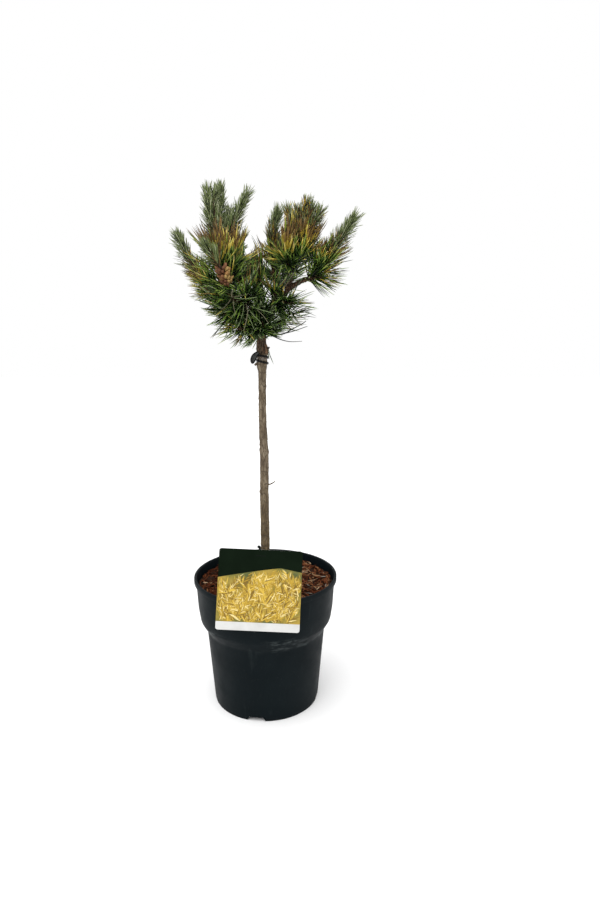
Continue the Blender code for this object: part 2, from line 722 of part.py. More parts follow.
class Space:
    """Tells whether a needle keeps to its own mass's space and stays clear of the limbs."""

    def __init__(self, shoots, limbs):
        starts, ends, owners = [], [], []
        for name, paths in shoots.items():
            for _, path in paths:
                starts += path[:-1]
                ends += path[1:]
                owners += [name] * (len(path) - 1)
        self.starts = np.array(starts)
        self.ends = np.array(ends)
        self.owners = np.array(owners)
        limb_starts, limb_ends, limb_radii = [], [], []
        for path, radii in limbs.values():
            limb_starts += path[:-1]
            limb_ends += path[1:]
            limb_radii += [max(pair) for pair in zip(radii, radii[1:])]
        tie_radius = trunk_at(TIE_FOOT)[1] + 2 * TIE_THICKNESS
        tie_foot = trunk_at(TIE_FOOT - TIE_THICKNESS)[0]
        tie_top = trunk_at(TIE_FOOT + TIE_PITCH * TIE_TURNS + TIE_THICKNESS)[0]
        self.limb_starts = np.array(limb_starts + [tie_foot])
        self.limb_ends = np.array(limb_ends + [tie_top])
        self.limb_radii = np.array(limb_radii + [tie_radius])

    def allows(self, name, root, tip, needles):
        """True where every sample of the needle lies nearest its own mass's shoots, clear of all else."""
        share = np.linspace(0.0, 1.0, SAMPLES)[:, None]
        points = np.array(root) * (1 - share) + np.array(tip) * share
        if needles:
            tips = np.array([needle[1] for needle in needles])
            outer = tips + (1 - NEEDLE_FOOT) * (np.array([needle[0] for needle in needles]) - tips)
            nearest = distance_to_segments(points[share[:, 0] > NEEDLE_FOOT], outer, tips)
            if nearest.min() < NEEDLE_SPACING:
                return False
        shoots = distance_to_segments(points, self.starts, self.ends)
        own = shoots[:, self.owners == name].min(axis=1)
        others = shoots[:, self.owners != name].min(axis=1)
        if np.any(others < own + 2 * SPACE_MARGIN) or np.any(others < STEM_RADIUS[0] + 2 * SPACE_MARGIN):
            return False
        limbs = distance_to_segments(points, self.limb_starts, self.limb_ends) - self.limb_radii
        return bool(np.all(limbs > OLD_NEEDLE_RADIUS + GAP))


def point_on(path, share):
    """The place and direction at a share of a path's length."""
    lengths = np.cumsum([0.0] + [(b - a).length for a, b in zip(path, path[1:])])
    distance = share * lengths[-1]
    i = min(int(np.searchsorted(lengths, distance, side="right")) - 1, len(path) - 2)
    step = path[i + 1] - path[i]
    return path[i] + step * ((distance - lengths[i]) / (lengths[i + 1] - lengths[i])), step.normalized()


def needle_tip(root, axis, turn, spread, length):
    """The tip of a needle that leaves its shoot at an angle to the shoot's axis."""
    side = axis.orthogonal().normalized()
    side.rotate(Matrix.Rotation(turn, 3, axis))
    return root + length * (axis * math.cos(spread) + side * math.sin(spread))


def grow_needles(name, kind, path, space, needles, rng):
    """Add needles round one shoot by the golden angle, each only where its space allows it."""
    old = kind == "old"
    count, length = (OLD_COUNT, OLD_LENGTH) if old else (NEW_COUNT, NEW_LENGTH)
    mass = MASSES[name]
    first, last = (DROOP_SPREAD if "drooping" in mass else OLD_SPREAD) if old else NEW_SPREAD
    length *= mass.get("length", 1.0) if old else 1.0
    bare = OLD_BARE if old else NEW_BARE
    for i in range(count):
        for attempt in range(TRIES):
            share = bare + (1 - bare) * (i + rng.random()) / count
            root, axis = point_on(path, share)
            spread = math.radians(first + (last - first) * share + rng.uniform(-SPREAD_RANGE, SPREAD_RANGE))
            turn = GOLDEN_ANGLE * i + rng.uniform(-TURN_RANGE, TURN_RANGE) + RETRY_TURN * attempt
            reach = length * rng.uniform(*LENGTH_RANGE) * (1.0 - RETRY_SHORTER * attempt)
            tip = needle_tip(root, axis, turn, spread, reach)
            if space.allows(name, root, tip, needles):
                needles.append((root, tip, OLD_NEEDLE_RADIUS if old else NEW_NEEDLE_RADIUS))
                break


def add_needle(number, root, tip, radius, joining, material):
    """A three-sided needle from the shoot's axis to its tip, thickest at its waist."""
    length = (tip - root).length
    bm = bmesh.new()
    waist = NEEDLE_WAIST * length
    bmesh.ops.create_cone(bm, cap_ends=True, segments=NEEDLE_SIDES, radius1=NEEDLE_FOOT_RADIUS, radius2=radius,
                          depth=waist, matrix=Matrix.Translation((0.0, 0.0, waist / 2)))
    outer_end = max(bm.faces, key=lambda face: face.calc_center_median().z)
    bmesh.ops.poke(bm, faces=[outer_end], offset=length - waist)
    bmesh.ops.transform(bm, matrix=Matrix.Translation(root) @ turn_to(tip - root), verts=bm.verts)
    add_object(f"needle_{number}", mesh_from(bm, "needle"), joining, material)


def add_cones(count, path, joining, material, rng):
    """A ring of small pollen cones at the foot of a candle."""
    for i in range(count):
        root, axis = point_on(path, CONE_FOOT + CONE_RANGE * i / count)
        tip = needle_tip(root, axis, GOLDEN_ANGLE * i, math.radians(rng.uniform(*CONE_SPREAD)), CONE_LENGTH)
        bm = bmesh.new()
        place = Matrix.Translation(root.lerp(tip, CONE_MIDDLE)) @ turn_to(tip - root)
        shape = Matrix.Diagonal((CONE_RADIUS, CONE_RADIUS, CONE_LENGTH / 2, 1.0))
        bmesh.ops.create_uvsphere(bm, u_segments=CONE_SIDES, v_segments=CONE_RINGS, radius=1.0, matrix=place @ shape)
        add_object(f"cone_{i + 1}", mesh_from(bm, "cone"), joining, material)


def make_masses(plant, joining, limbs):
    """Every mass of foliage: stem, candles and needles fused into one solid."""
    shoots = {name: shoots_of(mass, limbs) for name, mass in MASSES.items()}
    space = Space(shoots, limbs)
    for number, (name, mass) in enumerate(MASSES.items()):
        rng = random.Random(NEEDLE_SEED + number)
        material = make_material("needles")
        needles = []
        for kind, path in shoots[name]:
            grow_needles(name, kind, path, space, needles, rng)
        for i, (_, path) in enumerate(shoots[name][1:]):
            tube(f"candle_{i + 1}", path, tapered(len(path), CANDLE_RADIUS), SHOOT_SIDES, joining, material)
        for i, needle in enumerate(needles):
            add_needle(i + 1, *needle, joining, material)
        if "cones" in mass:
            add_cones(mass["cones"], shoots[name][1][1], joining, material, rng)
        path = shoots[name][0][1]
        stem = tube(name, path, tapered(len(path), STEM_RADIUS), SHOOT_SIDES, plant, material)
        if "side_of" in mass:
            cutter = bpy.data.objects[f"{mass['side_of']}_cutter"]
            boolean(stem, "DIFFERENCE", cutter, "foot")
            stem = frozen(stem, weld=0)
        joined(stem, joining)


def main():
    """Build the pot, the soil, the trunk with what is tied to it, the boughs and the masses."""
    plant, cutters, joining = clear_scene()
    make_pot(plant, cutters)
    make_soil(plant, joining)
    make_trunk(plant, joining)
    make_tie(plant)
    make_tag(plant)
    make_strap(plant)
    limbs = make_boughs(plant, cutters)
    make_masses(plant, joining, limbs)
    for thing in plant.objects:
        if thing.modifiers:
            continue
        thing.data.shade_smooth()
        thing.data.set_sharp_from_angle(angle=SHARP_ANGLE)
    bpy.data.collections.remove(joining)


main()
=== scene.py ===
"""Looks of a young grafted mugo pine in its nursery pot. Metres, +Z up, the tag on the -Y side."""

import math

import bmesh
import bpy
import numpy as np
from mathutils import Matrix, Vector, noise


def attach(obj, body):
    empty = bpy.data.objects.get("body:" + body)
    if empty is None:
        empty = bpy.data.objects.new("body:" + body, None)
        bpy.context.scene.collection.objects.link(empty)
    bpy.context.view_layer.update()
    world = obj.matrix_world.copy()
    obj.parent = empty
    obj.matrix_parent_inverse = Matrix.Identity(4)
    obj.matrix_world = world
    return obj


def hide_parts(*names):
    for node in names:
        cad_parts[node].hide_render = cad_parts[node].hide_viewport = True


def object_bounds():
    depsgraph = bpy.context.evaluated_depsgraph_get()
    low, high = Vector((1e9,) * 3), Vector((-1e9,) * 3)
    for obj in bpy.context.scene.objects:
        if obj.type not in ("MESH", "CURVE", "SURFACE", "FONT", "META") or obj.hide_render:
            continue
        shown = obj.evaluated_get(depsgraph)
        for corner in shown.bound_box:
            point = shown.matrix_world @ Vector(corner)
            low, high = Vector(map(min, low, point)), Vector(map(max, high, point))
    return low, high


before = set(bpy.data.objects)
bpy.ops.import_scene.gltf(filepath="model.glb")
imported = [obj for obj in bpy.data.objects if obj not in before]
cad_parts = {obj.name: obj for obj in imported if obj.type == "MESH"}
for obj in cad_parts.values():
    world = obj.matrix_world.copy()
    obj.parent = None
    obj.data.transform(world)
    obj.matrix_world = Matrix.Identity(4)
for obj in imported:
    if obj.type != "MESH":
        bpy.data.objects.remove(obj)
cad_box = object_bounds()

GAP = 0.0003
GOLDEN_ANGLE = math.radians(137.5)
UP = np.array((0.0, 0.0, 1.0))
FRONT = np.array((0.0, -1.0, 0.0))
# Turns a quad over without moving its first corner
FLIP = (0, 3, 2, 1)

# Pot
POT_SIDES = 160
POT_WALL = 0.0016
FOOT_RADIUS = 0.0855
BASE_DISC_RADIUS = 0.06
CHANNEL_HEIGHT = 0.007
CHANNEL_SLOPE = 0.003
NOTCHES = 4
NOTCH_HEIGHT = 0.007
# At its foot and at its top
NOTCH_WIDTHS = (0.031, 0.023)
NOTCH_DEPTH = 0.012
NOTCH_ANGLE = math.radians(-98.4)
DRAIN_RADIUS = 0.005
DRAIN_CIRCLE = 0.0745
SHARP_EDGE = math.radians(38)
# Outer wall from the rim down: radius, height
POT_OUTER = ((0.1124, 0.211), (0.114, 0.211), (0.1147, 0.2107), (0.115, 0.21), (0.115, 0.2038),
             (0.1147, 0.2031), (0.114, 0.2028), (0.1122, 0.2026), (0.1116, 0.202), (0.1104, 0.182),
             (0.1092, 0.162), (0.1075, 0.1505), (0.1062, 0.1422), (0.1056, 0.1402), (0.1042, 0.1376),
             (0.0974, 0.1262), (0.0962, 0.1236), (0.0957, 0.1205), (0.093, 0.09), (0.0892, 0.045),
             (0.0861, 0.008), (0.0855, 0.0025), (0.085, 0.0006), (0.0844, 0.0))
# Inner wall from the floor up
POT_INNER = ((0.06, 0.0016), (0.063, 0.0086), (0.0839, 0.0086), (0.0845, 0.011), (0.0942, 0.1228),
             (0.0952, 0.125), (0.1036, 0.1396), (0.1046, 0.142), (0.1076, 0.162), (0.1104, 0.2075),
             (0.1108, 0.21), (0.1114, 0.2108))
# The step's band, where scuffs begin, are at their most and end
SCUFF_HEIGHTS = (0.118, 0.128, 0.141, 0.148)

# Soil and bark mulch
SOIL_LEVEL = 0.1962
SOIL_RADIUS = 0.1088
SOIL_FLOOR = 0.0092
CRUMB_HEIGHT = 0.0012
SOIL_RINGS = 39
SOIL_SIDES = 120
SOIL_WALL = ((SOIL_RADIUS - 0.0006, SOIL_LEVEL - 0.004), (0.107, 0.162), (0.1042, 0.1425), (0.0936, 0.123),
             (0.0836, SOIL_FLOOR))
STRIPS = 1250
# The least and the most of a strip's length, width and thickness
STRIP_SIZES = ((0.007, 0.027), (0.0007, 0.0019), (0.0005, 0.0011))
# The same for its lean, its bend, its height above the soil and its sag
STRIP_POSES = ((-0.28, 0.28), (-0.16, 0.16), (0.0002, 0.0042), (-0.05, 0.05))
STRIP_WOBBLE = 0.00022
# A strip's width at each of its stations
STRIP_PROFILE = np.array((0.25, 0.85, 1.0, 0.95, 0.8, 0.2))
STRIP_STATIONS = STRIP_SIDES = 6
STRIP_ENDS = ((3, 2, 1, 0), (5, 4, 3, 0), (30, 31, 32, 33), (30, 33, 34, 35))
# No strip stands nearer to the trunk's axis than this
MULCH_INNER = 0.0085
MULCH_COLOURS = ((0.03, 0.009, 0.004), (0.062, 0.017, 0.007), (0.11, 0.034, 0.014), (0.17, 0.07, 0.03),
                 (0.24, 0.135, 0.07), (0.33, 0.23, 0.145), (0.19, 0.17, 0.145))
# Each colour's share towards -X, which is redder and darker, and towards +X, which is paler and greyer. The
# darkening towards -X is painted shade, and the paling towards +X is painted light.
MULCH_SHARES = np.array(((0.32, 0.34, 0.23, 0.07, 0.03, 0.01, 0.0),
                         (0.14, 0.2, 0.22, 0.22, 0.14, 0.05, 0.03)))

# Trunk from the soil to the fork: height, offset along X, radius
TRUNK = ((0.197, 0.0, 0.009), (0.204, 0.0, 0.0076), (0.22, 0.0, 0.0067), (0.257, 0.0, 0.0064),
         (0.349, -0.0006, 0.0063), (0.407, 0.0, 0.0062), (0.45, -0.0018, 0.0055), (0.477, -0.0021, 0.0053),
         (0.509, -0.0021, 0.0051), (0.54, -0.0017, 0.0057), (0.552, -0.0013, 0.0066),
         (0.57, -0.0018, 0.0075), (0.58, -0.0024, 0.007), (0.591, -0.0024, 0.0064), (0.606, -0.003, 0.006),
         (0.614, -0.003, 0.0048))
# The height where the grafted part's darker, flaky bark starts
GRAFT = 0.5625
# The paler band below it, where it begins, is at its most and ends
PALE_BAND = (0.5535, 0.555, 0.5585, 0.56)
# Bark outside the trunk's own radius, and the leaf scars on it
TRUNK_BARK = 0.0007
SCARS = 150
SCAR_HEIGHTS = (0.225, 0.545)
SCAR_SIZE = (0.0011, 0.0011, 0.0008)
SCAR_RISE = 0.00055
# Cut twigs on the trunk: points from foot to tip, radius
SPURS = ((((-0.0045, 0.0, 0.5525), (-0.009, -0.001, 0.5502), (-0.013, -0.001, 0.547)), 0.0017),
         (((0.003, 0.0, 0.568), (0.007, -0.001, 0.5712), (0.0095, -0.001, 0.5745)), 0.001),
         (((0.003, 0.0, 0.3602), (0.0095, -0.002, 0.3608), (0.0165, -0.001, 0.365)), 0.0009))
# Knots and swellings on the trunk: height, angle about it, radius, and how proud it stands
KNOTS = ((0.348, 3.05, 0.003, 1.0), (0.412, 0.1, 0.0026, 0.8), (0.416, 3.3, 0.0026, 0.8),
         (0.515, -0.2, 0.0024, 0.7), (0.3, -1.9, 0.0026, 0.7), (0.455, -1.2, 0.0024, 0.7),
         (0.262, -0.9, 0.0026, 0.8), (0.388, -2.2, 0.0022, 0.6), (0.325, 1.4, 0.003, 1.0),
         (0.48, 1.9, 0.0026, 0.8), (0.5465, 3.14, 0.0056, 0.9), (0.57, 0.1, 0.006, 0.7),
         (0.585, -1.2, 0.004, 0.5))
# Depth of the bark's relief, spacing of its rings, and their sides
TRUNK_RELIEF = (0.0004, 0.0008, 72)
BOUGH_RELIEF = (0.0006, 0.0012, 40)
SPUR_RELIEF = 0.0003
FORK_SWELLING = 0.01

# Tie
TIE_HEIGHT = 0.0034
TIE_THICKNESS = 0.0017
TIE_FRONT = 0.5523
TIE_PITCH = 0.0088
TIE_ANGLES = (math.radians(45), math.radians(-560))
# The loop's middle line, and its width at each point
TIE_LOOP = ((-0.0068, -0.0072, 0.566), (-0.0102, -0.008, 0.5638), (-0.0134, -0.0082, 0.5595),
            (-0.0154, -0.0078, 0.5545), (-0.0162, -0.0074, 0.5502))
TIE_LOOP_WIDTHS = (0.0046, 0.007, 0.0088, 0.0078, 0.0034)
# Its thickness at both ends, and how much thinner it is between them
TIE_LOOP_THICKNESS = 0.0026
TIE_LOOP_THINNING = 0.001
# The rolled edge's radius, and how far its middle line is inside the loop's edge and in front of it
TIE_RIM = 0.00105
RIM_INSET = 0.0008
RIM_FORWARD = 0.0004

# Hang tag and strap
TAG_SIZE = (0.122, 0.117, 0.0006)
TAG_CORNER = 0.0035
TAG_LEAN = math.radians(15.6)
TAG_ROLL = math.radians(2.5)
TAG_CENTRE = (-0.0035, 0.2295)
RIM_POINT = Vector((0.0, -0.115, 0.211))
TAG_FOOT = 0.012
# How far the header comes down at the left edge, at its bend and at the right edge, and the bend's place
# as a share of half the width
HEADER_DEPTHS = (0.042, 0.0265, 0.031)
HEADER_BEND = 0.48
HEADER_BOW = 0.0012
# Half the slot's width, its depth below the top edge, its height
TAG_SLOT = (0.0075, 0.0085, 0.0009)
INK = 0.00003
SPRAYS = 170
SPRAY_SIZES = (0.018, 0.032)
LEAFLETS = 19
LEAFLET_ANGLE = 0.5
PALE_SHARE = 0.16
LEAFLET_POINTS = 8
INK_COLOURS = {"yellow": (0.56, 0.38, 0.06), "pale": (0.7, 0.57, 0.24), "ochre": (0.19, 0.115, 0.022),
               "gold": (0.4, 0.26, 0.036), "slot": (0.002, 0.003, 0.002)}
# The card's materials by number
CARD, HEADER, PANEL, YELLOW, PALE, OCHRE, GOLD, SLOT = range(8)
STRAP_WIDTH = 0.006
STRAP_THICKNESS = 0.0008
STRAP_EDGE = 0.00025
STRAP_HEIGHT = 0.2462
STRAP_TURN = (-20, 185)
STRAP_TONGUE = (-0.01, -0.0062, 0.256)
# The strap's folded end, and its width at even steps
STRAP_FOLD = ((-0.0075, -0.0088, 0.2555), (-0.0094, -0.0096, 0.2594), (-0.012, -0.0092, 0.2586))
STRAP_FOLD_WIDTHS = (0.0023, 0.00414, 0.0046, 0.0046, 0.00414, 0.0023)

# Boughs: the trunk height that each leaves at, the points it passes, radius at both ends
BOUGHS = {"bough_left": (0.601, ((-0.023, -0.015, 0.622), (-0.037, -0.028, 0.639), (-0.046, -0.036, 0.653)),
                         0.005, 0.0042),
          "bough_right": (0.6, ((0.017, -0.003, 0.629), (0.031, -0.008, 0.646), (0.042, -0.0108, 0.673)),
                          0.0048, 0.004),
          "bough_back_left": (0.598, ((-0.016, 0.022, 0.628), (-0.032, 0.042, 0.66)), 0.0044, 0.0036),
          "bough_back_right": (0.6, ((0.01, 0.026, 0.628), (0.026, 0.046, 0.66)), 0.0044, 0.0036),
          "bough_middle": (0.598, ((0.012, 0.01, 0.63), (0.02, 0.01, 0.664)), 0.0036, 0.003)}
FAR_BOUGH = ((0.0375, -0.0097, 0.659), (0.056, -0.014, 0.6695), (0.069, -0.018, 0.6745),
             (0.08, -0.021, 0.68))
FAR_BOUGH_RADII = (0.0036, 0.003)

# Shoots of each mass: the stem of last year, then the candles that grow on from its end. Finer twigs
# leave the stem, each with the points that it passes. Gold is how far last year's needles have turned
# towards the stem's end. Rust is how far up a candle its brown foot reaches. Length and density scale
# the needles, drooping ones stand out wider and hang, and a bronzed mass has browner candles.
MASSES = {
    "mass_tall_left": {
        "tip_of": "bough_left", "stem": ((-0.052, -0.036, 0.678), (-0.0545, -0.035, 0.697)),
        "candles": (((-0.0683, -0.038, 0.746), (-0.0722, -0.04, 0.786)),
                    ((-0.0575, -0.027, 0.75), (-0.0572, -0.02, 0.794)),
                    ((-0.0468, -0.014, 0.736), (-0.0457, -0.004, 0.764)),
                    ((-0.0405, -0.032, 0.742), (-0.0208, -0.028, 0.784)),
                    ((-0.0648, -0.037, 0.763), (-0.0635, -0.036, 0.7864))),
        "twigs": (((-0.05, -0.035, 0.668), (-0.056, -0.05, 0.684), (-0.06, -0.056, 0.702)),
                  ((-0.052, -0.036, 0.678), (-0.042, -0.04, 0.69), (-0.036, -0.044, 0.704)),
                  ((-0.052, -0.036, 0.678), (-0.06, -0.037, 0.69), (-0.0655, -0.038, 0.704))),
        "gold": 1.0},
    "mass_front_left": {
        "foot": (-0.042, -0.0325, 0.6465), "stem": ((-0.045, -0.056, 0.664), (-0.05, -0.073, 0.683)),
        "candles": (((-0.061, -0.084, 0.6975), (-0.07, -0.093, 0.709)),), "gold": 0.35},
    "mass_far_left": {
        "foot": (-0.0405, -0.031, 0.644), "stem": ((-0.0696, -0.032, 0.659), (-0.09, -0.026, 0.675)),
        "candles": (((-0.1061, -0.02, 0.704), (-0.1215, -0.012, 0.731)),),
        "twigs": (((-0.06, -0.032, 0.654), (-0.074, -0.044, 0.664), (-0.082, -0.046, 0.676)),
                  ((-0.05, -0.032, 0.649), (-0.064, -0.04, 0.648), (-0.074, -0.046, 0.65))),
        "gold": 0.7, "length": 0.58},
    "mass_inner_left": {
        "foot": (-0.0265, -0.0185, 0.6265), "stem": ((-0.0215, -0.036, 0.638), (-0.023, -0.056, 0.654)),
        "twigs": (((-0.0215, -0.036, 0.638), (-0.034, -0.052, 0.642), (-0.042, -0.06, 0.65)),
                  ((-0.03, -0.021, 0.631), (-0.044, -0.04, 0.626), (-0.056, -0.05, 0.632))),
        "gold": 0.1},
    "mass_inner_right": {
        "foot": (0.021, -0.0043, 0.6338), "stem": ((0.029, -0.024, 0.633), (0.044, -0.042, 0.642)),
        "twigs": (((0.021, -0.0043, 0.6338), (0.018, -0.028, 0.642), (0.02, -0.044, 0.656)),), "gold": 0.15,
        "length": 0.85, "density": 0.62, "drooping": True},
    "mass_low_left": {
        "foot": (-0.0026, 0.0, 0.5935), "stem": ((-0.025, -0.012, 0.605), (-0.05, -0.027, 0.623)),
        "twigs": (((-0.026, -0.012, 0.604), (-0.036, -0.03, 0.618), (-0.048, -0.042, 0.624)),
                  ((-0.018, -0.008, 0.6), (-0.026, -0.03, 0.6), (-0.036, -0.04, 0.604))),
        "gold": 0.42, "length": 0.8, "density": 0.46, "drooping": True},
    "mass_low_front": {
        "foot": (-0.0026, 0.0, 0.5905), "stem": ((-0.003, -0.026, 0.597), (0.001, -0.044, 0.607)),
        "twigs": (((-0.0026, 0.0, 0.599), (0.002, -0.024, 0.616), (0.006, -0.04, 0.634)),
                  ((-0.0026, 0.0, 0.597), (-0.012, -0.026, 0.612), (-0.016, -0.04, 0.626))),
        "gold": 0.0, "length": 0.85, "drooping": True},
    "mass_low_right": {
        "foot": (-0.0026, 0.0, 0.5935), "stem": ((0.018, -0.008, 0.605), (0.042, -0.014, 0.625)),
        "gold": 0.25, "length": 0.84, "density": 0.32, "drooping": True},
    "mass_low_back": {
        "foot": (-0.0026, 0.0, 0.5905), "stem": ((-0.003, 0.026, 0.598), (-0.002, 0.048, 0.612)), "gold": 0.0,
        "drooping": True},
    "mass_centre": {
        "tip_of": "trunk",
        "stem": ((-0.001, -0.007, 0.638), (-0.0029, -0.014, 0.6606), (-0.0081, -0.02, 0.678)),
        "candles": (((-0.009, -0.022, 0.683), (-0.01, -0.024, 0.69)),), "gold": 0.5},
    "mass_middle": {
        "tip_of": "bough_middle", "stem": ((0.018, 0.011, 0.68), (0.0138, 0.014, 0.697)),
        "candles": (((0.015, 0.019, 0.7377), (0.0215, 0.024, 0.768)),), "gold": 0.5, "rust": 0.8,
        "density": 1.45},
    "mass_right": {
        "tip_of": "bough_right", "stem": ((0.0445, -0.012, 0.688), (0.0505, -0.016, 0.716)),
        "candles": (((0.044, -0.018, 0.745), (0.039, -0.012, 0.766)),
                    ((0.0587, -0.024, 0.75), (0.0643, -0.028, 0.772)),
                    ((0.07, -0.03, 0.739), (0.082, -0.04, 0.758)),
                    ((0.05, -0.022, 0.738), (0.052, -0.024, 0.762)),
                    ((0.064, -0.03, 0.74), (0.072, -0.034, 0.765))),
        "twigs": (((0.0445, -0.012, 0.688), (0.058, -0.024, 0.7), (0.066, -0.03, 0.716)),
                  ((0.0445, -0.012, 0.688), (0.036, -0.026, 0.7), (0.034, -0.032, 0.714))),
        "gold": 1.0, "bronzed": True},
    "mass_far_right": {
        "tip_of": "bough_far_right", "stem": ((0.09, -0.025, 0.689), (0.0975, -0.028, 0.7)),
        "candles": (((0.1168, -0.033, 0.7313), (0.131, -0.038, 0.752)),),
        "twigs": (((0.074, -0.0195, 0.677), (0.08, -0.024, 0.69), (0.085, -0.027, 0.702)),
                  ((0.064, -0.0165, 0.6725), (0.076, -0.023, 0.6745), (0.086, -0.028, 0.676))),
        "gold": 0.6, "length": 0.8},
    "mass_back_left": {
        "tip_of": "bough_back_left", "stem": ((-0.04, 0.052, 0.682), (-0.046, 0.06, 0.702)),
        "candles": (((-0.053, 0.07, 0.728), (-0.06, 0.08, 0.757)),
                    ((-0.04, 0.074, 0.72), (-0.033, 0.088, 0.742))),
        "gold": 0.7},
    "mass_back_right": {
        "tip_of": "bough_back_right", "stem": ((0.033, 0.056, 0.682), (0.038, 0.064, 0.7)),
        "candles": (((0.046, 0.074, 0.722), (0.054, 0.084, 0.748)),
                    ((0.027, 0.078, 0.72), (0.02, 0.092, 0.738))),
        "gold": 0.7},
}

STEM_RADIUS = (0.003, 0.0022)
STEM_COLLAR = 0.004
CANDLE_RADIUS = (0.0024, 0.0013)
TWIG_RELIEF = (0.0006, 0.0012, 12)
# Needles grow in pairs. Old ones are last year's, new ones stand on the candles. Spread is their angle to
# the shoot in degrees at its foot and at its end, bend the least and the most that they turn towards its
# end, and bare the share of the shoot below the first of them.
NEEDLES = {
    "old": {"length": 0.052, "width": 0.0009, "per_metre": 3900,
            "spread": (80, 27), "bend": (6, 30), "bare": 0.06},
    "new": {"length": 0.029, "width": 0.00068, "per_metre": 3700,
            "spread": (47, 25), "bend": (2, 16), "bare": 0.08},
}
DROOPING_SPREAD = (96, 34)
# A needle's width at each of its stations
NEEDLE_PROFILE = (0.75, 1.0, 1.0, 1.0, 0.95, 0.78, 0.18)
STATIONS = len(NEEDLE_PROFILE)
TRIES = 5
# A needle may reach this far past the middle between two masses
SHARED = 0.01
LIMB_CLEARANCE = 0.0004
# No needle passes these round rods: the views of the pollen cones and of the middle candle, the graft, and
# slits between the shoots in front. Both ends of the middle line, radius
BARE = (
    (-0.0487, -0.073, 0.6765, -0.0418, -0.13, 0.6727, 0.0145),
    (-0.0026, -0.1, 0.558, -0.0026, -0.02, 0.576, 0.0155),
    (0.0215, -0.1, 0.727, 0.0179, -0.006, 0.7387, 0.0105),
    (0.027, -0.1, 0.7483, 0.024, -0.004, 0.7626, 0.008),
    (-0.0137, -0.125, 0.6287, -0.0187, -0.062, 0.6297, 0.007),
    (-0.0317, -0.125, 0.6453, -0.0368, -0.074, 0.647, 0.0075),
    (-0.0006, -0.125, 0.621, -0.0037, -0.078, 0.6213, 0.007),
    (0.0112, -0.125, 0.6197, 0.0089, -0.082, 0.6199, 0.006),
    (-0.0152, -0.125, 0.6158, -0.0188, -0.08, 0.6159, 0.006),
    (0.0491, -0.1, 0.6624, 0.0485, -0.02, 0.6666, 0.005),
    (0.0411, -0.1, 0.6566, 0.0397, -0.02, 0.6603, 0.0045),
    (-0.0636, -0.044, 0.7633, -0.0623, -0.0425, 0.7898, 0.0044))
# Lines of sight through gaps in the crown and past its edge, as rods too: X and Z where each enters the
# crown's depth and where it leaves it, radius
SIGHT_DEPTH = 0.1
SIGHTS = (
    (-0.0839, 0.708, -0.1151, 0.7288, 0.006), (0.013, 0.67, 0.012, 0.708, 0.0055),
    (-0.0007, 0.7408, -0.0133, 0.7689, 0.012), (-0.0122, 0.7182, -0.0274, 0.7412, 0.0055),
    (-0.0134, 0.7042, -0.0288, 0.7242, 0.0045), (-0.0093, 0.7118, -0.0238, 0.7334, 0.0045),
    (-0.0836, 0.62, -0.1145, 0.6206, 0.01), (-0.0677, 0.5986, -0.0953, 0.5949, 0.0075),
    (-0.0465, 0.5784, -0.0693, 0.5703, 0.008), (0.0598, 0.6579, 0.0607, 0.6674, 0.0055),
    (0.0057, 0.7232, -0.0055, 0.7474, 0.006), (0.0901, 0.7283, 0.0977, 0.7535, 0.005),
    (0.0231, 0.5798, 0.0158, 0.5719, 0.013), (0.0453, 0.5868, 0.0427, 0.5804, 0.015),
    (0.07, 0.5975, 0.0727, 0.5935, 0.013), (-0.0842, 0.6343, -0.1155, 0.6386, 0.006),
    (-0.078, 0.6178, -0.1078, 0.6185, 0.006), (-0.0666, 0.6145, -0.0939, 0.6144, 0.0055),
    (-0.0708, 0.633, -0.099, 0.637, 0.0035), (0.0827, 0.6429, 0.0887, 0.6491, 0.0045),
    (0.1016, 0.6324, 0.1118, 0.6362, 0.009), (0.091, 0.6145, 0.0988, 0.6144, 0.007),
    (-0.0159, 0.565, -0.0327, 0.553, 0.014), (-0.0325, 0.5665, -0.053, 0.555, 0.012))

# Pollen cones, round this middle line
CONE_AXIS = ((-0.044, -0.062, 0.66), (-0.0515, -0.073, 0.683))
CONES = 44
CONE_RINGS = 7
CONE_SIDES = 10
CONE_SCALES = 5
CONE_LENGTHS = (0.0075, 0.011)
CONE_RADII = (0.0019, 0.0026)
# Degrees from the middle line, how far out each cone's foot is, and how far its middle is from there
CONE_SPREADS = (35, 62)
CONE_FOOT = 0.0027
CONE_MIDDLES = (0.0038, 0.007)
CONE_COLOURS = {"red": (0.15, 0.064, 0.032), "rust": (0.235, 0.105, 0.048), "tan": (0.34, 0.18, 0.065),
                "straw": (0.4, 0.26, 0.095)}
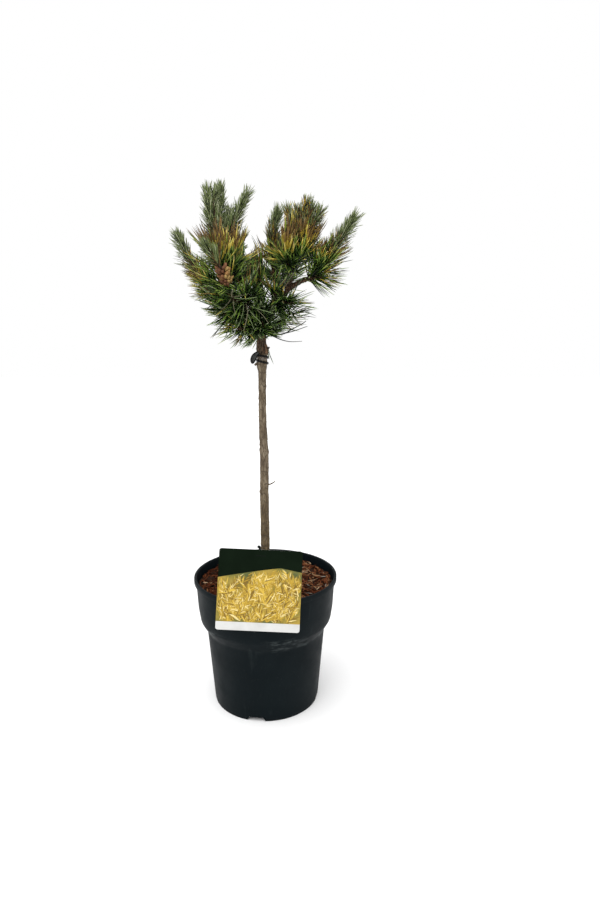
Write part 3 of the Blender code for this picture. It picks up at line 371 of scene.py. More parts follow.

# Base colours of the needles' segments, and each kind's colours from the foot outwards. The candles' dark
# grey-green is painted shade, over whole needles and near the feet of most; their pale tips are painted
# highlight.
NEEDLE_COLOURS = {"sheath": (0.12, 0.08, 0.042), "deep": (0.018, 0.042, 0.009),
                  "shade": (0.008, 0.014, 0.005), "mid": (0.063, 0.125, 0.02),
                  "fresh": (0.172, 0.276, 0.043), "lime": (0.325, 0.4, 0.085), "gold": (0.56, 0.42, 0.06),
                  "yellow": (0.74, 0.62, 0.14), "straw": (0.56, 0.45, 0.17), "bronze": (0.2, 0.122, 0.04),
                  "umber": (0.055, 0.033, 0.016), "grey": (0.178, 0.22, 0.084), "pale": (0.36, 0.385, 0.235),
                  "dusk": (0.046, 0.06, 0.026), "cool": (0.15, 0.2, 0.085), "frost": (0.3, 0.345, 0.19),
                  "ash": (0.14, 0.128, 0.08)}
# In the old needles' kinds the deep green is partly their own colour and partly painted shade, and the lime
# and yellow towards their tips are partly their own colour and partly painted highlight.
KINDS = {kind: colours.split() for kind, colours in {
    "old_deep": "sheath deep deep deep deep mid",
    "old_shade": "sheath shade shade shade shade deep",
    "old_mid": "sheath mid mid mid fresh fresh",
    "old_fresh": "sheath mid fresh fresh lime lime",
    "old_cool": "sheath deep mid cool cool frost",
    "old_gold": "sheath mid fresh lime gold yellow",
    "old_straw": "sheath fresh lime gold yellow straw",
    "old_bronze": "sheath fresh gold gold bronze bronze",
    "old_brown": "sheath mid gold bronze bronze umber",
    "new_grey": "sheath dusk grey grey grey grey",
    "new_pale": "sheath dusk grey grey pale pale",
    "new_dusk": "sheath dusk dusk dusk grey dusk",
    "new_brown": "umber bronze bronze bronze umber dusk",
    "new_rust": "umber umber bronze bronze gold bronze"}.items()}
# Single long needles: their two colours, the mass that they belong to, then the radius of each and the
# points that it passes. Some stray below the crown, and grey ones fan out in front of it.
LOOSE = {
    "needles_stray": (("shade", "shade"), "mass_low_right", (
        (0.0013, (0.0027, -0.004, 0.5876), (0.0099, -0.009, 0.5914), (0.017, -0.012, 0.5921),
         (0.0321, -0.02, 0.5946), (0.0441, -0.026, 0.6011), (0.0577, -0.031, 0.6083),
         (0.0645, -0.034, 0.6131)),
        (0.0011, (0.0231, -0.016, 0.5928), (0.0351, -0.022, 0.5957), (0.048, -0.029, 0.5991),
         (0.0664, -0.036, 0.6055)),
        (0.0009, (0.014, -0.012, 0.5917), (0.0281, -0.022, 0.5859), (0.0422, -0.03, 0.5833),
         (0.0587, -0.038, 0.5842)),
        (0.001, (0.0057, -0.008, 0.5976), (0.011, -0.012, 0.5922), (0.0156, -0.014, 0.5948),
         (0.0247, -0.015, 0.6058)),
        (0.0008, (0.0321, -0.016, 0.613), (0.0411, -0.022, 0.6029), (0.0455, -0.027, 0.5994)),
        (0.0008, (0.0455, -0.018, 0.6203), (0.0543, -0.027, 0.6102), (0.0587, -0.031, 0.6066)))),
    "needles_fanned": (("ash", "cool"), "mass_inner_left", (
        (0.0013, (-0.0203, -0.058, 0.6373), (-0.0188, -0.064, 0.6324), (-0.0172, -0.07, 0.6268),
         (-0.0176, -0.074, 0.6193)),
        (0.0008, (-0.0159, -0.062, 0.629), (-0.0105, -0.07, 0.6224), (-0.0046, -0.076, 0.6172),
         (0.002, -0.082, 0.6107)),
        (0.0007, (-0.0089, -0.06, 0.6318), (-0.0015, -0.068, 0.6262), (0.0059, -0.076, 0.6189),
         (0.0127, -0.082, 0.6098)),
        (0.0008, (-0.0145, -0.06, 0.6341), (-0.0028, -0.068, 0.6298), (0.0087, -0.075, 0.6265),
         (0.0192, -0.08, 0.6232)),
        (0.0012, (-0.0386, -0.07, 0.6458), (-0.0384, -0.074, 0.6504), (-0.0363, -0.077, 0.6555),
         (-0.0345, -0.078, 0.6596)),
        (0.0009, (-0.0366, -0.072, 0.6525), (-0.0323, -0.076, 0.6553), (-0.0267, -0.08, 0.6575)),
        (0.0007, (-0.0365, -0.07, 0.6464), (-0.0254, -0.078, 0.6473), (-0.0145, -0.084, 0.6499)),
        (0.0008, (-0.0358, -0.07, 0.6447), (-0.0227, -0.078, 0.6431), (-0.0098, -0.084, 0.6443),
         (-0.0029, -0.086, 0.6453)),
        (0.0007, (-0.0367, -0.07, 0.6418), (-0.0356, -0.078, 0.6321), (-0.0322, -0.084, 0.6213)),
        (0.0008, (-0.0233, -0.062, 0.6368), (-0.0234, -0.07, 0.6268), (-0.0256, -0.078, 0.6172)),
        (0.0008, (-0.0179, -0.07, 0.6214), (-0.0192, -0.076, 0.6118), (-0.0223, -0.082, 0.5996)),
        (0.0007, (-0.0169, -0.068, 0.6221), (-0.0127, -0.074, 0.6132), (-0.008, -0.08, 0.6023)),
        (0.0007, (-0.04, -0.07, 0.6431), (-0.0456, -0.078, 0.6348), (-0.0519, -0.084, 0.6287)),
        (0.0007, (-0.0254, -0.064, 0.6358), (-0.0325, -0.072, 0.6275), (-0.0396, -0.08, 0.6166))))}

# Studio
CAMERA_PLACE = (0.0558, -0.9965, 0.615)
CAMERA_PITCH = math.radians(-11.34)
CAMERA_LENS = 26.0
CAMERA_SENSOR = 36.0
# Place, angle across, strength
LAMPS = {"key": ((-0.45, -0.75, 2.1), 65.0, 1.9), "fill": ((1.4, -1.2, 1.1), 60.0, 0.2)}
LAMPS_AIM = Vector((0.0, 0.0, 0.42))
FLOOR_HALF = 6.0


def material(name, colour, roughness, specular):
    """A Principled material."""
    made = bpy.data.materials.new(name)
    made.use_nodes = True
    inputs = made.node_tree.nodes["Principled BSDF"].inputs
    inputs["Base Color"].default_value = (*colour, 1.0)
    inputs["Roughness"].default_value = roughness
    inputs["Specular IOR Level"].default_value = specular
    return made


def placed(name, data):
    """An object in the scene."""
    thing = bpy.data.objects.new(name, data)
    bpy.context.scene.collection.objects.link(thing)
    return thing


def mesh_from(name, bm):
    """A mesh from a bmesh, its faces turned outwards."""
    bmesh.ops.recalc_face_normals(bm, faces=bm.faces)
    mesh = bpy.data.meshes.new(name)
    bm.to_mesh(mesh)
    bm.free()
    return mesh


def add_piece(name, parts, materials, tints=None, smooth=True):
    """A mesh piece joined from parts, each an array of places and one of equal faces.

    Tints say which material each part has, or each of its faces."""
    starts = np.cumsum([0] + [len(places) for places, _ in parts])
    places = np.vstack([places for places, _ in parts])
    faces = np.vstack([np.asarray(faces) + start for (_, faces), start in zip(parts, starts)])
    mesh = bpy.data.meshes.new(name)
    mesh.vertices.add(len(places))
    mesh.vertices.foreach_set("co", np.asarray(places, np.float32).ravel())
    mesh.loops.add(faces.size)
    mesh.loops.foreach_set("vertex_index", faces.astype(np.int32).ravel())
    mesh.polygons.add(len(faces))
    mesh.polygons.foreach_set("loop_start", np.arange(len(faces), dtype=np.int32) * faces.shape[1])
    mesh.update(calc_edges=True)
    for one in materials:
        mesh.materials.append(one)
    if tints is not None:
        slots = [np.broadcast_to(tint, len(faces)) for tint, (_, faces) in zip(tints, parts)]
        mesh.polygons.foreach_set("material_index", np.concatenate(slots).astype(np.int32))
    mesh.validate()
    if smooth:
        mesh.shade_smooth()
    return placed(name, mesh)


def finish_piece(piece, slot, *nodes):
    """The piece rides on the root body and replaces CAD nodes, which it hides. The slot is not used."""
    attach(piece, "root")
    if nodes:
        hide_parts(*nodes)


def smooth_path(points, steps):
    """Points along a smooth curve that passes through all the given ones."""
    points = [np.array(point, float) for point in points]
    ends = [2 * points[0] - points[1], *points, 2 * points[-1] - points[-2]]
    path = []
    for before, start, end, after in zip(ends, ends[1:], ends[2:], ends[3:]):
        for step in range(steps):
            t = step / steps
            path.append(0.5 * (2 * start + (end - before) * t
                               + (2 * before - 5 * start + 4 * end - after) * t ** 2
                               + (3 * start - before - 3 * end + after) * t ** 3))
    return np.array(path + [points[-1]])


def marks_along(path):
    """How far along a path each of its points is."""
    return np.concatenate(([0.0], np.cumsum(np.linalg.norm(np.diff(path, axis=0), axis=1))))


def along(path, shares):
    """Places and directions at shares of a path's length."""
    steps = np.diff(path, axis=0)
    lengths = np.linalg.norm(steps, axis=1)
    marks = marks_along(path)
    at = np.clip(shares, 0.0, 1.0) * marks[-1]
    i = np.clip(np.searchsorted(marks, at, side="right") - 1, 0, len(steps) - 1)
    return path[i] + steps[i] * ((at - marks[i]) / lengths[i])[:, None], steps[i] / lengths[i][:, None]


def length_of(path):
    """A path's length."""
    return float(np.linalg.norm(np.diff(path, axis=0), axis=1).sum())


def resampled(path, radii, spacing):
    """A path and its radii at an even, finer spacing."""
    marks = marks_along(path)
    at = np.linspace(0.0, marks[-1], max(int(length_of(path) / spacing), 4) + 1)
    places = np.stack([np.interp(at, marks, path[:, k]) for k in range(3)], axis=-1)
    return places, np.interp(at, marks, radii)


def unit(vectors):
    """Vectors of length one."""
    return vectors / np.linalg.norm(vectors, axis=-1, keepdims=True)


def square_to(axes):
    """Two unit vectors square to each axis."""
    other = np.where(np.abs(axes[..., 2:]) < 0.9, UP, np.array((1.0, 0.0, 0.0)))
    first = unit(np.cross(axes, other))
    return first, np.cross(axes, first)


def level_frame(paths, up=UP):
    """Directions across each path and upwards from it, at each of its points."""
    tangents = unit(np.gradient(paths, axis=-2))
    across = unit(np.cross(tangents, up))
    return across, np.cross(across, tangents)


def carried_frame(path):
    """Two vectors square to a path at each of its points, which turn as little as they can."""
    tangents = unit(np.gradient(path, axis=0))
    first = [square_to(tangents[0])[0]]
    for tangent in tangents[1:]:
        first.append(unit(first[-1] - tangent * np.dot(first[-1], tangent)))
    first = np.array(first)
    return first, np.cross(tangents, first)


def around(angles):
    """Level unit vectors at angles about the upright axis."""
    return np.stack((np.cos(angles), np.sin(angles), np.zeros_like(angles)), axis=-1)


def ring_of(sides):
    """Even angles round a ring."""
    return np.arange(sides) * math.tau / sides


def walls(rings, sides):
    """Quads between the rings of a tube."""
    ring, side = np.meshgrid(np.arange(rings - 1), np.arange(sides), indexing="ij")
    first, second = ring * sides + side, ring * sides + (side + 1) % sides
    return np.stack((first, second, second + sides, first + sides), axis=-1).reshape(-1, 4)


def lid(middle, start, sides):
    """Quads from a middle point to the ring that begins at a start."""
    even = np.arange(0, sides, 2)
    corners = (np.full_like(even, middle), start + even, start + even + 1, start + (even + 2) % sides)
    return np.stack(corners, axis=-1)


def closed(rings, path):
    """Places and quads of a tube from its rings of places, closed at both ends of its path."""
    count, sides = rings.shape[:2]
    last, foot = (count - 1) * sides, count * sides
    faces = np.vstack((walls(count, sides), lid(foot, 0, sides)[:, ::-1], lid(foot + 1, last, sides)))
    return np.vstack((rings.reshape(-1, 3), path[:1], path[-1:])), faces


def tube_arrays(path, radii, sides, relief=None):
    """Places and quads of a closed tube. Relief moves each place outwards."""
    first, second = carried_frame(path)
    turns = ring_of(sides)[None, :, None]
    out = first[:, None] * np.cos(turns) + second[:, None] * np.sin(turns)
    places = path[:, None] + out * radii[:, None, None]
    if relief is not None:
        places = places + out * relief(places)[..., None]
    return closed(places, path)


def strap_arrays(path, across, out, heights, thickness, sides=16):
    """A closed strap along a path, with a rounded section of a height across and a thickness outwards."""
    turns = ring_of(sides)
    tall, thick = (np.sign(wave) * np.abs(wave) ** 0.7 for wave in (np.sin(turns), np.cos(turns)))
    heights, thickness = (np.broadcast_to(size, len(path))[:, None] / 2 for size in (heights, thickness))
    return closed(path[:, None] + across[:, None] * (tall * heights)[..., None]
                  + out[:, None] * (thick * thickness)[..., None], path)


def facing_front(points, steps, widths):
    """A smooth path with its directions across and forwards, and its width at each point."""
    path = smooth_path(points, steps)
    width = np.interp(np.linspace(0.0, 1.0, len(path)), np.linspace(0.0, 1.0, len(widths)), widths)
    return path, level_frame(path, FRONT)[0], np.tile(FRONT, (len(path), 1)), width


def sampled(rule, points, scale):
    """A rule's value at each point, which is scaled first."""
    scaled = np.asarray(points) * np.asarray(scale)
    return np.array([rule(Vector(point)) for point in scaled.reshape(-1, 3)]).reshape(scaled.shape[:-1])


def fractal(points, scale, octaves):
    """Fractal noise at points."""
    return sampled(lambda point: noise.fractal(point, 1.0, 2.0, octaves), points, scale)


def cells(points, scale):
    """How far each point is inside its cell: 0 on a crack between cells."""
    def depth(point):
        nearest = noise.voronoi(point)[0]
        return nearest[1] - nearest[0]
    return sampled(depth, points, scale)


def trunk_at(height):
    """The trunk's axis point and radius at a height."""
    heights, *others = zip(*TRUNK)
    offset, radius = (float(np.interp(height, heights, other)) for other in others)
    return np.array((offset, 0.0, height)), radius


class Nodes:
    """Builds a Principled material's node tree step by step."""

    def __init__(self, name, colour, roughness, specular):
        self.made = material(name, colour, roughness, specular)
        self.tree = self.made.node_tree
        self.place = self.add("TexCoord", {}, "Object")

    def feed(self, socket, value):
        """Gives a socket a link or a plain value."""
        if isinstance(value, bpy.types.NodeSocket):
            self.tree.links.new(value, socket)
        elif value is not None:
            socket.default_value = value

    def add(self, kind, inputs, output=0, **settings):
        """A new node's output. Its inputs are given by name or number."""
        node = self.tree.nodes.new(f"ShaderNode{kind}")
        for name, value in settings.items():
            setattr(node, name, value)
        for name, value in inputs.items():
            self.feed(node.inputs[name], value)
        return node.outputs[output]

    def stretched(self, stretch):
        """The place with its axes stretched."""
        return self.add("Mapping", {"Vector": self.place, "Scale": stretch})

    def noise(self, scale, detail=4.0, roughness=0.55, stretch=(1, 1, 1)):
        """Noise of a scale, stretched along the axes."""
        return self.add("TexNoise", {"Vector": self.stretched(stretch), "Scale": scale, "Detail": detail,
                                     "Roughness": roughness})

    def cracks(self, scale, stretch):
        """The distance to the edges of cells."""
        return self.add("TexVoronoi", {"Vector": self.stretched(stretch), "Scale": scale}, "Distance",
                        feature="DISTANCE_TO_EDGE")

    def range(self, value, low, high, to_low=0.0, to_high=1.0):
        """A value mapped from one range to another, and kept in it."""
        return self.add("MapRange", {"Value": value, "From Min": low, "From Max": high, "To Min": to_low,
                                     "To Max": to_high})

    def height(self):
        """The height above the ground."""
        return self.add("SeparateXYZ", {0: self.place}, "Z")

    def times(self, first, second):
        """The product of two values."""
        return self.add("Math", {0: first, 1: second}, operation="MULTIPLY")

    def ramp(self, value, *stops):
        """Colours at stops of a value."""
        output = self.add("ValToRGB", {"Fac": value})
        elements = output.node.color_ramp.elements
        while len(elements) < len(stops):
            elements.new(0.5)
        for element, (position, colour) in zip(elements, stops):
            element.position = position
            element.color = (*colour, 1.0)
        return output

    def mix(self, share, first, second):
        """A mix of two colours, each a socket or plain numbers."""
        one, two = ((*colour, 1.0) if isinstance(colour, tuple) else colour for colour in (first, second))
        # A mix node's colour sockets come after its number and vector ones
        return self.add("Mix", {0: share, 6: one, 7: two}, 2, data_type="RGBA")

    def over(self, under, tint, value, low, high, most=1.0):
        """A tint over a colour where a value passes from low to high."""
        return self.mix(self.range(value, low, high, 0.0, most), under, tint)

    def bump(self, height, depth, normal=None):
        """A bump of a depth in metres, on top of another."""
        return self.add("Bump", {"Strength": 1.0, "Distance": depth, "Height": height, "Normal": normal})

    def finish(self, colour, roughness=None, normal=None):
        """Links what is given to the shader, and gives the material."""
        inputs = self.tree.nodes["Principled BSDF"].inputs
        for name, socket in (("Base Color", colour), ("Roughness", roughness), ("Normal", normal)):
            self.feed(inputs[name], socket)
        return self.made


def mottled(name, colour, roughness, specular, grain, stops, rough=None, bump=None):
    """A material whose colour runs through stops over a grain of noise.

    Rough is a grain and the two roughnesses that it runs between, bump a grain and its depth."""
    nodes = Nodes(name, colour, roughness, specular)
    return nodes.finish(nodes.ramp(nodes.noise(*grain), *stops),
                        rough and nodes.range(nodes.noise(*rough[0]), 0.3, 0.7, *rough[1:]),
                        bump and nodes.bump(nodes.noise(*bump[0]), bump[1]))


def pot_material():
    """Black moulded plastic with a cool cast, fine grain, dust, and scuffs along the step."""
    nodes = Nodes("pot_plastic", (0.004, 0.007, 0.009), 0.5, 0.055)
    height = nodes.height()
    cloud = nodes.range(nodes.noise(14.0, 5.0), 0.3, 0.7)
    base = nodes.mix(cloud, (0.0017, 0.0041, 0.0054), (0.0035, 0.0067, 0.0082))
    begin, full, fade, end = SCUFF_HEIGHTS
    band = nodes.times(nodes.range(height, begin, full), nodes.range(height, fade, end, 1.0, 0.0))
    marks = nodes.range(nodes.noise(60.0, 6.0, 0.7, (1, 1, 3.5)), 0.48, 0.64)
    patches = nodes.range(nodes.noise(9.0, 3.0), 0.41, 0.56)
    scuffs = nodes.times(nodes.times(nodes.times(marks, patches), band), 0.95)
    wear_and_highlight = nodes.mix(scuffs, base, (0.075, 0.088, 0.088))
    streaks = nodes.noise(90.0, 3.0, 0.6, (1, 1, 0.12))
    streaked = nodes.over(wear_and_highlight, (0.02, 0.026, 0.027), streaks, 0.62, 0.8, 0.35)
    specks = nodes.noise(520.0, 2.0, 0.5)
    dusty = nodes.over(streaked, (0.04, 0.042, 0.039), specks, 0.68, 0.76, 0.35)
    grain = nodes.bump(nodes.noise(900.0, 2.0), 0.00006)
    return nodes.finish(dusty, nodes.range(nodes.noise(35.0, 5.0), 0.3, 0.7, 0.44, 0.6),
                        nodes.bump(nodes.noise(22.0, 2.0), 0.0006, grain))


def bark_material():
    """Grey-tan bark with dark specks, ochre near the soil, and reddish and flaky above the graft."""
    nodes = Nodes("bark", (0.13, 0.1, 0.07), 0.85, 0.1)
    height = nodes.height()
    fibre = nodes.noise(240.0, 5.0, 0.6, (1, 1, 0.22))
    blotch = nodes.noise(55.0, 4.0, 0.6, (1, 1, 0.5))
    flaky = nodes.noise(330.0, 5.0, 0.7, (1, 1, 0.4))
    lower = nodes.ramp(fibre, (0.3, (0.06, 0.038, 0.018)), (0.5, (0.128, 0.092, 0.046)),
                       (0.72, (0.215, 0.165, 0.1)))
    upper = nodes.ramp(fibre, (0.3, (0.064, 0.046, 0.03)), (0.5, (0.142, 0.109, 0.072)),
                       (0.72, (0.24, 0.198, 0.142)))
    red = nodes.ramp(flaky, (0.38, (0.006, 0.004, 0.003)), (0.5, (0.04, 0.021, 0.012)),
                     (0.66, (0.26, 0.15, 0.085)))
    stem = nodes.over(lower, upper, height, 0.22, 0.4)
    grafted = nodes.over(stem, red, height, GRAFT, GRAFT + 0.003)
    begin, full, fade, end = PALE_BAND
    pale_band = nodes.times(nodes.range(height, begin, full), nodes.range(height, end, fade))
    banded = nodes.mix(nodes.times(pale_band, 0.7), grafted, (0.19, 0.17, 0.15))
    stained = nodes.over(banded, (0.05, 0.038, 0.026), blotch, 0.52, 0.7, 0.5)
    specks = nodes.noise(380.0, 2.0, 0.5, (1, 1, 0.8))
    specked = nodes.over(stained, (0.02, 0.014, 0.01), specks, 0.62, 0.7, 0.8)
    flakes = nodes.range(nodes.cracks(210.0, (1, 1, 0.35)), 0.0, 0.1)
    crack = nodes.over((0.04, 0.029, 0.02), (0.095, 0.072, 0.05), blotch, 0.2, 0.8)
    return nodes.finish(nodes.mix(flakes, crack, specked), nodes.range(fibre, 0.2, 0.8, 0.95, 0.75),
                        nodes.bump(flakes, 0.0001, nodes.bump(fibre, 0.0003)))


def make_pot():
    """The pot turned in fine steps, with its channel, notches and drain holes."""
    wall, disc = FOOT_RADIUS - POT_WALL, BASE_DISC_RADIUS + POT_WALL
    profile = [(0.0, POT_WALL), *POT_INNER, *POT_OUTER, (wall, 0.0), (wall, CHANNEL_HEIGHT),
               (disc + CHANNEL_SLOPE, CHANNEL_HEIGHT), (disc, 0.0), (0.0, 0.0)]
    mesh = bpy.data.meshes.new("pot_shell")
    mesh.from_pydata([(r, 0.0, z) for r, z in profile], [(i, i + 1) for i in range(len(profile) - 1)], [])
    pot = placed("pot_shell", mesh)
    screw = pot.modifiers.new("turn", "SCREW")
    screw.steps = screw.render_steps = POT_SIDES
    screw.use_merge_vertices = True
    screw.merge_threshold = 0.00001
    forms = []
    for i in range(NOTCHES):
        turn = NOTCH_ANGLE + math.tau * i / NOTCHES
        notch = bmesh.new()
        bmesh.ops.create_cube(notch, size=1.0)
        for vert in notch.verts:
            upper = vert.co.z > 0
            vert.co = (FOOT_RADIUS + vert.co.x * NOTCH_DEPTH, vert.co.y * NOTCH_WIDTHS[upper],
                       NOTCH_HEIGHT if upper else -NOTCH_HEIGHT / 4)
        bmesh.ops.rotate(notch, cent=(0, 0, 0), matrix=Matrix.Rotation(turn, 3, "Z"), verts=notch.verts)
        turn += math.pi / NOTCHES
        drain = bmesh.new()
        bmesh.ops.create_cone(drain, cap_ends=True, segments=24, radius1=DRAIN_RADIUS, radius2=DRAIN_RADIUS,
                              depth=4 * POT_WALL)
        centre = DRAIN_CIRCLE * around(turn) + UP * (CHANNEL_HEIGHT + POT_WALL / 2)
        bmesh.ops.translate(drain, vec=Vector(centre), verts=drain.verts)
        forms += (notch, drain)
    cutters = [placed("cutter", mesh_from("cutter", form)) for form in forms]
    for cutter in cutters:
        cut = pot.modifiers.new(cutter.name, "BOOLEAN")
        cut.operation = "DIFFERENCE"
        cut.solver = "EXACT"
        cut.object = cutter
    bpy.context.view_layer.update()
    turned = bmesh.new()
    whole = pot.evaluated_get(bpy.context.evaluated_depsgraph_get())
    turned.from_mesh(bpy.data.meshes.new_from_object(whole))
    pot.modifiers.clear()
    pot.data = mesh_from("pot_shell", turned)
    for cutter in cutters:
        bpy.data.objects.remove(cutter)
    pot.data.materials.append(pot_material())
    pot.data.shade_smooth()
    pot.data.set_sharp_from_angle(angle=SHARP_EDGE)
    finish_piece(pot, "pot_plastic", "pot")


def make_soil():
    """The root ball's crumbly top and sides."""
    rows = [*((r, SOIL_LEVEL) for r in np.linspace(0.0, SOIL_RADIUS, SOIL_RINGS + 1)[1:]), *SOIL_WALL]
    rings = np.array([radius * around(ring_of(SOIL_SIDES)) + UP * height for radius, height in rows])
    rings[:SOIL_RINGS, :, 2] += CRUMB_HEIGHT * fractal(rings[:SOIL_RINGS], 90.0, 4) - CRUMB_HEIGHT / 2
    places = np.vstack((rings.reshape(-1, 3), UP * SOIL_LEVEL, UP * SOIL_FLOOR))
    last, middle = (len(rows) - 1) * SOIL_SIDES, len(rows) * SOIL_SIDES
    faces = np.vstack((walls(len(rows), SOIL_SIDES)[:, FLIP], lid(middle, 0, SOIL_SIDES),
                       lid(middle + 1, last, SOIL_SIDES)[:, FLIP]))
    crumbs = (240.0, 8.0, 0.7)
    stops = ((0.35, (0.006, 0.004, 0.003)), (0.55, (0.04, 0.02, 0.012)), (0.75, (0.12, 0.06, 0.035)))
    soil = mottled("soil", (0.03, 0.018, 0.012), 0.95, 0.08, crumbs, stops, bump=(crumbs, 0.001))
    finish_piece(add_piece("root_ball", [(places, faces)], [soil]), "bark_mulch", "soil")


def bark_strip(angle, rng):
    """A shred of bark on the soil at an angle about the trunk, and how far it is towards +X, from 0 to 1."""
    length, width, thickness = (rng.uniform(*sizes) for sizes in STRIP_SIZES)
    radius = math.sqrt(rng.uniform(MULCH_INNER ** 2, (SOIL_RADIUS - 0.003) ** 2))
    turn = rng.uniform(0.0, math.tau)
    # Strips near the wall lie along it
    if radius > SOIL_RADIUS - length / 2:
        turn = angle + math.pi / 2 + rng.uniform(-0.25, 0.25)
        radius = min(radius, SOIL_RADIUS - 0.004 - length ** 2 / 0.9)
    lean, bend, lift, sag = (rng.uniform(*poses) for poses in STRIP_POSES)
    share = np.linspace(-0.5, 0.5, STRIP_STATIONS)
    path = np.stack((share * length, bend * length * (0.25 - share ** 2) * 4,
                     share * length * math.sin(lean) + sag * length * (share ** 2)), axis=-1)
    path[:, 1:] += rng.normal(0.0, STRIP_WOBBLE, (STRIP_STATIONS, 2))
    ahead = around(np.array((turn, turn + math.pi / 2)))
    path = path[:, :1] * ahead[0] + path[:, 1:2] * ahead[1] + path[:, 2:] * UP
    path += radius * around(angle) + UP * (SOIL_LEVEL + lift)
    path[:, 2] = np.maximum(path[:, 2], SOIL_LEVEL - 0.0004)
    path[:, :2] *= np.minimum(1.0, (SOIL_RADIUS - 0.0015) / np.hypot(path[:, 0], path[:, 1]))[:, None]
    profile = STRIP_PROFILE * (1 + rng.normal(0.0, 0.12, STRIP_STATIONS))
    turns = ring_of(STRIP_SIDES) + rng.uniform(-0.6, 0.6)
    ring = np.stack((np.cos(turns) * width, np.sin(turns) * thickness), axis=-1)
    ring = ring * (1 + rng.normal(0, 0.1, (STRIP_SIDES, 1)))
    across, upward = level_frame(path)
    places = (path[:, None] + across[:, None] * (ring[None, :, :1] * profile[:, None, None])
              + upward[:, None] * (ring[None, :, 1:] * profile[:, None, None]))
    faces = np.vstack((walls(STRIP_STATIONS, STRIP_SIDES), STRIP_ENDS))
    # Strips are painted paler towards +X as painted light, and darker towards -X as painted shade.
    paler = np.clip(0.5 + radius * math.cos(angle) / (1.4 * SOIL_RADIUS), 0.0, 1.0)
    return (places.reshape(-1, 3), faces), paler


def make_mulch():
    """The shredded bark that lies on the soil."""
    rng = np.random.default_rng(11)
    parts, tints = [], []
    for i in range(STRIPS):
        part, paler = bark_strip(GOLDEN_ANGLE * i, rng)
        parts.append(part)
        chances = MULCH_SHARES[0] * (1 - paler) + MULCH_SHARES[1] * paler
        tints.append(rng.choice(len(chances), p=chances / chances.sum()))
    materials = [material(f"mulch_{i + 1}", colour, 0.9, 0.03) for i, colour in enumerate(MULCH_COLOURS)]
    finish_piece(add_piece("bark_strips", parts, materials, tints, smooth=False), "bark_mulch")


def bark_relief(depth):
    """Relief of bark: plates with cracks between them along the limb, a coarse swell, flakes at the graft."""
    def relief(places):
        flaky = 1.0 + 0.9 * np.clip((places[..., 2] - GRAFT) / 0.003, 0.0, 1.0)
        plates = np.clip(cells(places, (260.0, 260.0, 95.0)) / 0.35, 0.0, 1.0)
        fine = fractal(places, (700.0, 700.0, 220.0), 3)
        swell = fractal(places, (110.0, 110.0, 45.0), 2)
        return depth * flaky * (0.75 * (plates - 0.75) + 0.55 * fine + 0.7 * swell)
    return relief


def limb_paths():
    """The trunk and every bough as paths with a radius at each point, as the frame has them."""
    axis, radii = zip(*(trunk_at(height) for height, _, _ in TRUNK))
    limbs = {"trunk": (np.array(axis), np.array(radii))}
    routes = {name: ((trunk_at(height)[0], *points), radii)
              for name, (height, points, *radii) in BOUGHS.items()}
    routes["bough_far_right"] = (FAR_BOUGH, FAR_BOUGH_RADII)
    for name, (points, radii) in routes.items():
        path = smooth_path(points, 3)
        limbs[name] = (path, np.linspace(*radii, len(path)))
    return limbs


def raised(places, height, angle, clear, size, rise):
    """Places moved outwards round a point of the trunk's side."""
    axis, radius = trunk_at(height)
    out = around(angle)
    offset = (places - (axis + out * (radius + clear))) / size
    return places + out * (rise * np.exp(-(offset ** 2).sum(axis=1)))[:, None]


def make_limbs(limbs):
    """The trunk and boughs in bark relief, with knots, leaf scars, cut twigs and a swelling at each fork."""
    parts = []
    for name, (path, radii) in limbs.items():
        depth, spacing, sides = TRUNK_RELIEF if name == "trunk" else BOUGH_RELIEF
        path, radii = resampled(path, radii, spacing)
        if name == "trunk":
            ripple = 0.035 * np.sin(path[:, 2] * 210.0) * np.sin(path[:, 2] * 37.0 + 1.0)
            radii = radii * (1 + ripple) + TRUNK_BARK
        else:
            radii = radii * (1 + 0.25 * np.exp(-np.linalg.norm(path - path[0], axis=1) / FORK_SWELLING))
        parts.append(tube_arrays(path, radii, sides, bark_relief(depth)))
    places, faces = parts[0]
    for height, angle, size, proud in KNOTS:
        places = raised(places, height, angle, 0.0, size, 0.42 * size * proud)
    # Leaf scars in steep spiral rows
    for number in range(SCARS):
        height = SCAR_HEIGHTS[0] + (SCAR_HEIGHTS[1] - SCAR_HEIGHTS[0]) * number / SCARS
        places = raised(places, height, GOLDEN_ANGLE * number, TRUNK_BARK, SCAR_SIZE, SCAR_RISE)
    parts[0] = (places, faces)
    for points, radius in SPURS:
        path = smooth_path(points, 6)
        radii = np.linspace(1.5 * radius, radius, len(path))
        parts.append(tube_arrays(path, radii, 16, bark_relief(SPUR_RELIEF)))
    finish_piece(add_piece("bark_limbs", parts, [bark_material()]), "bark", *limbs)


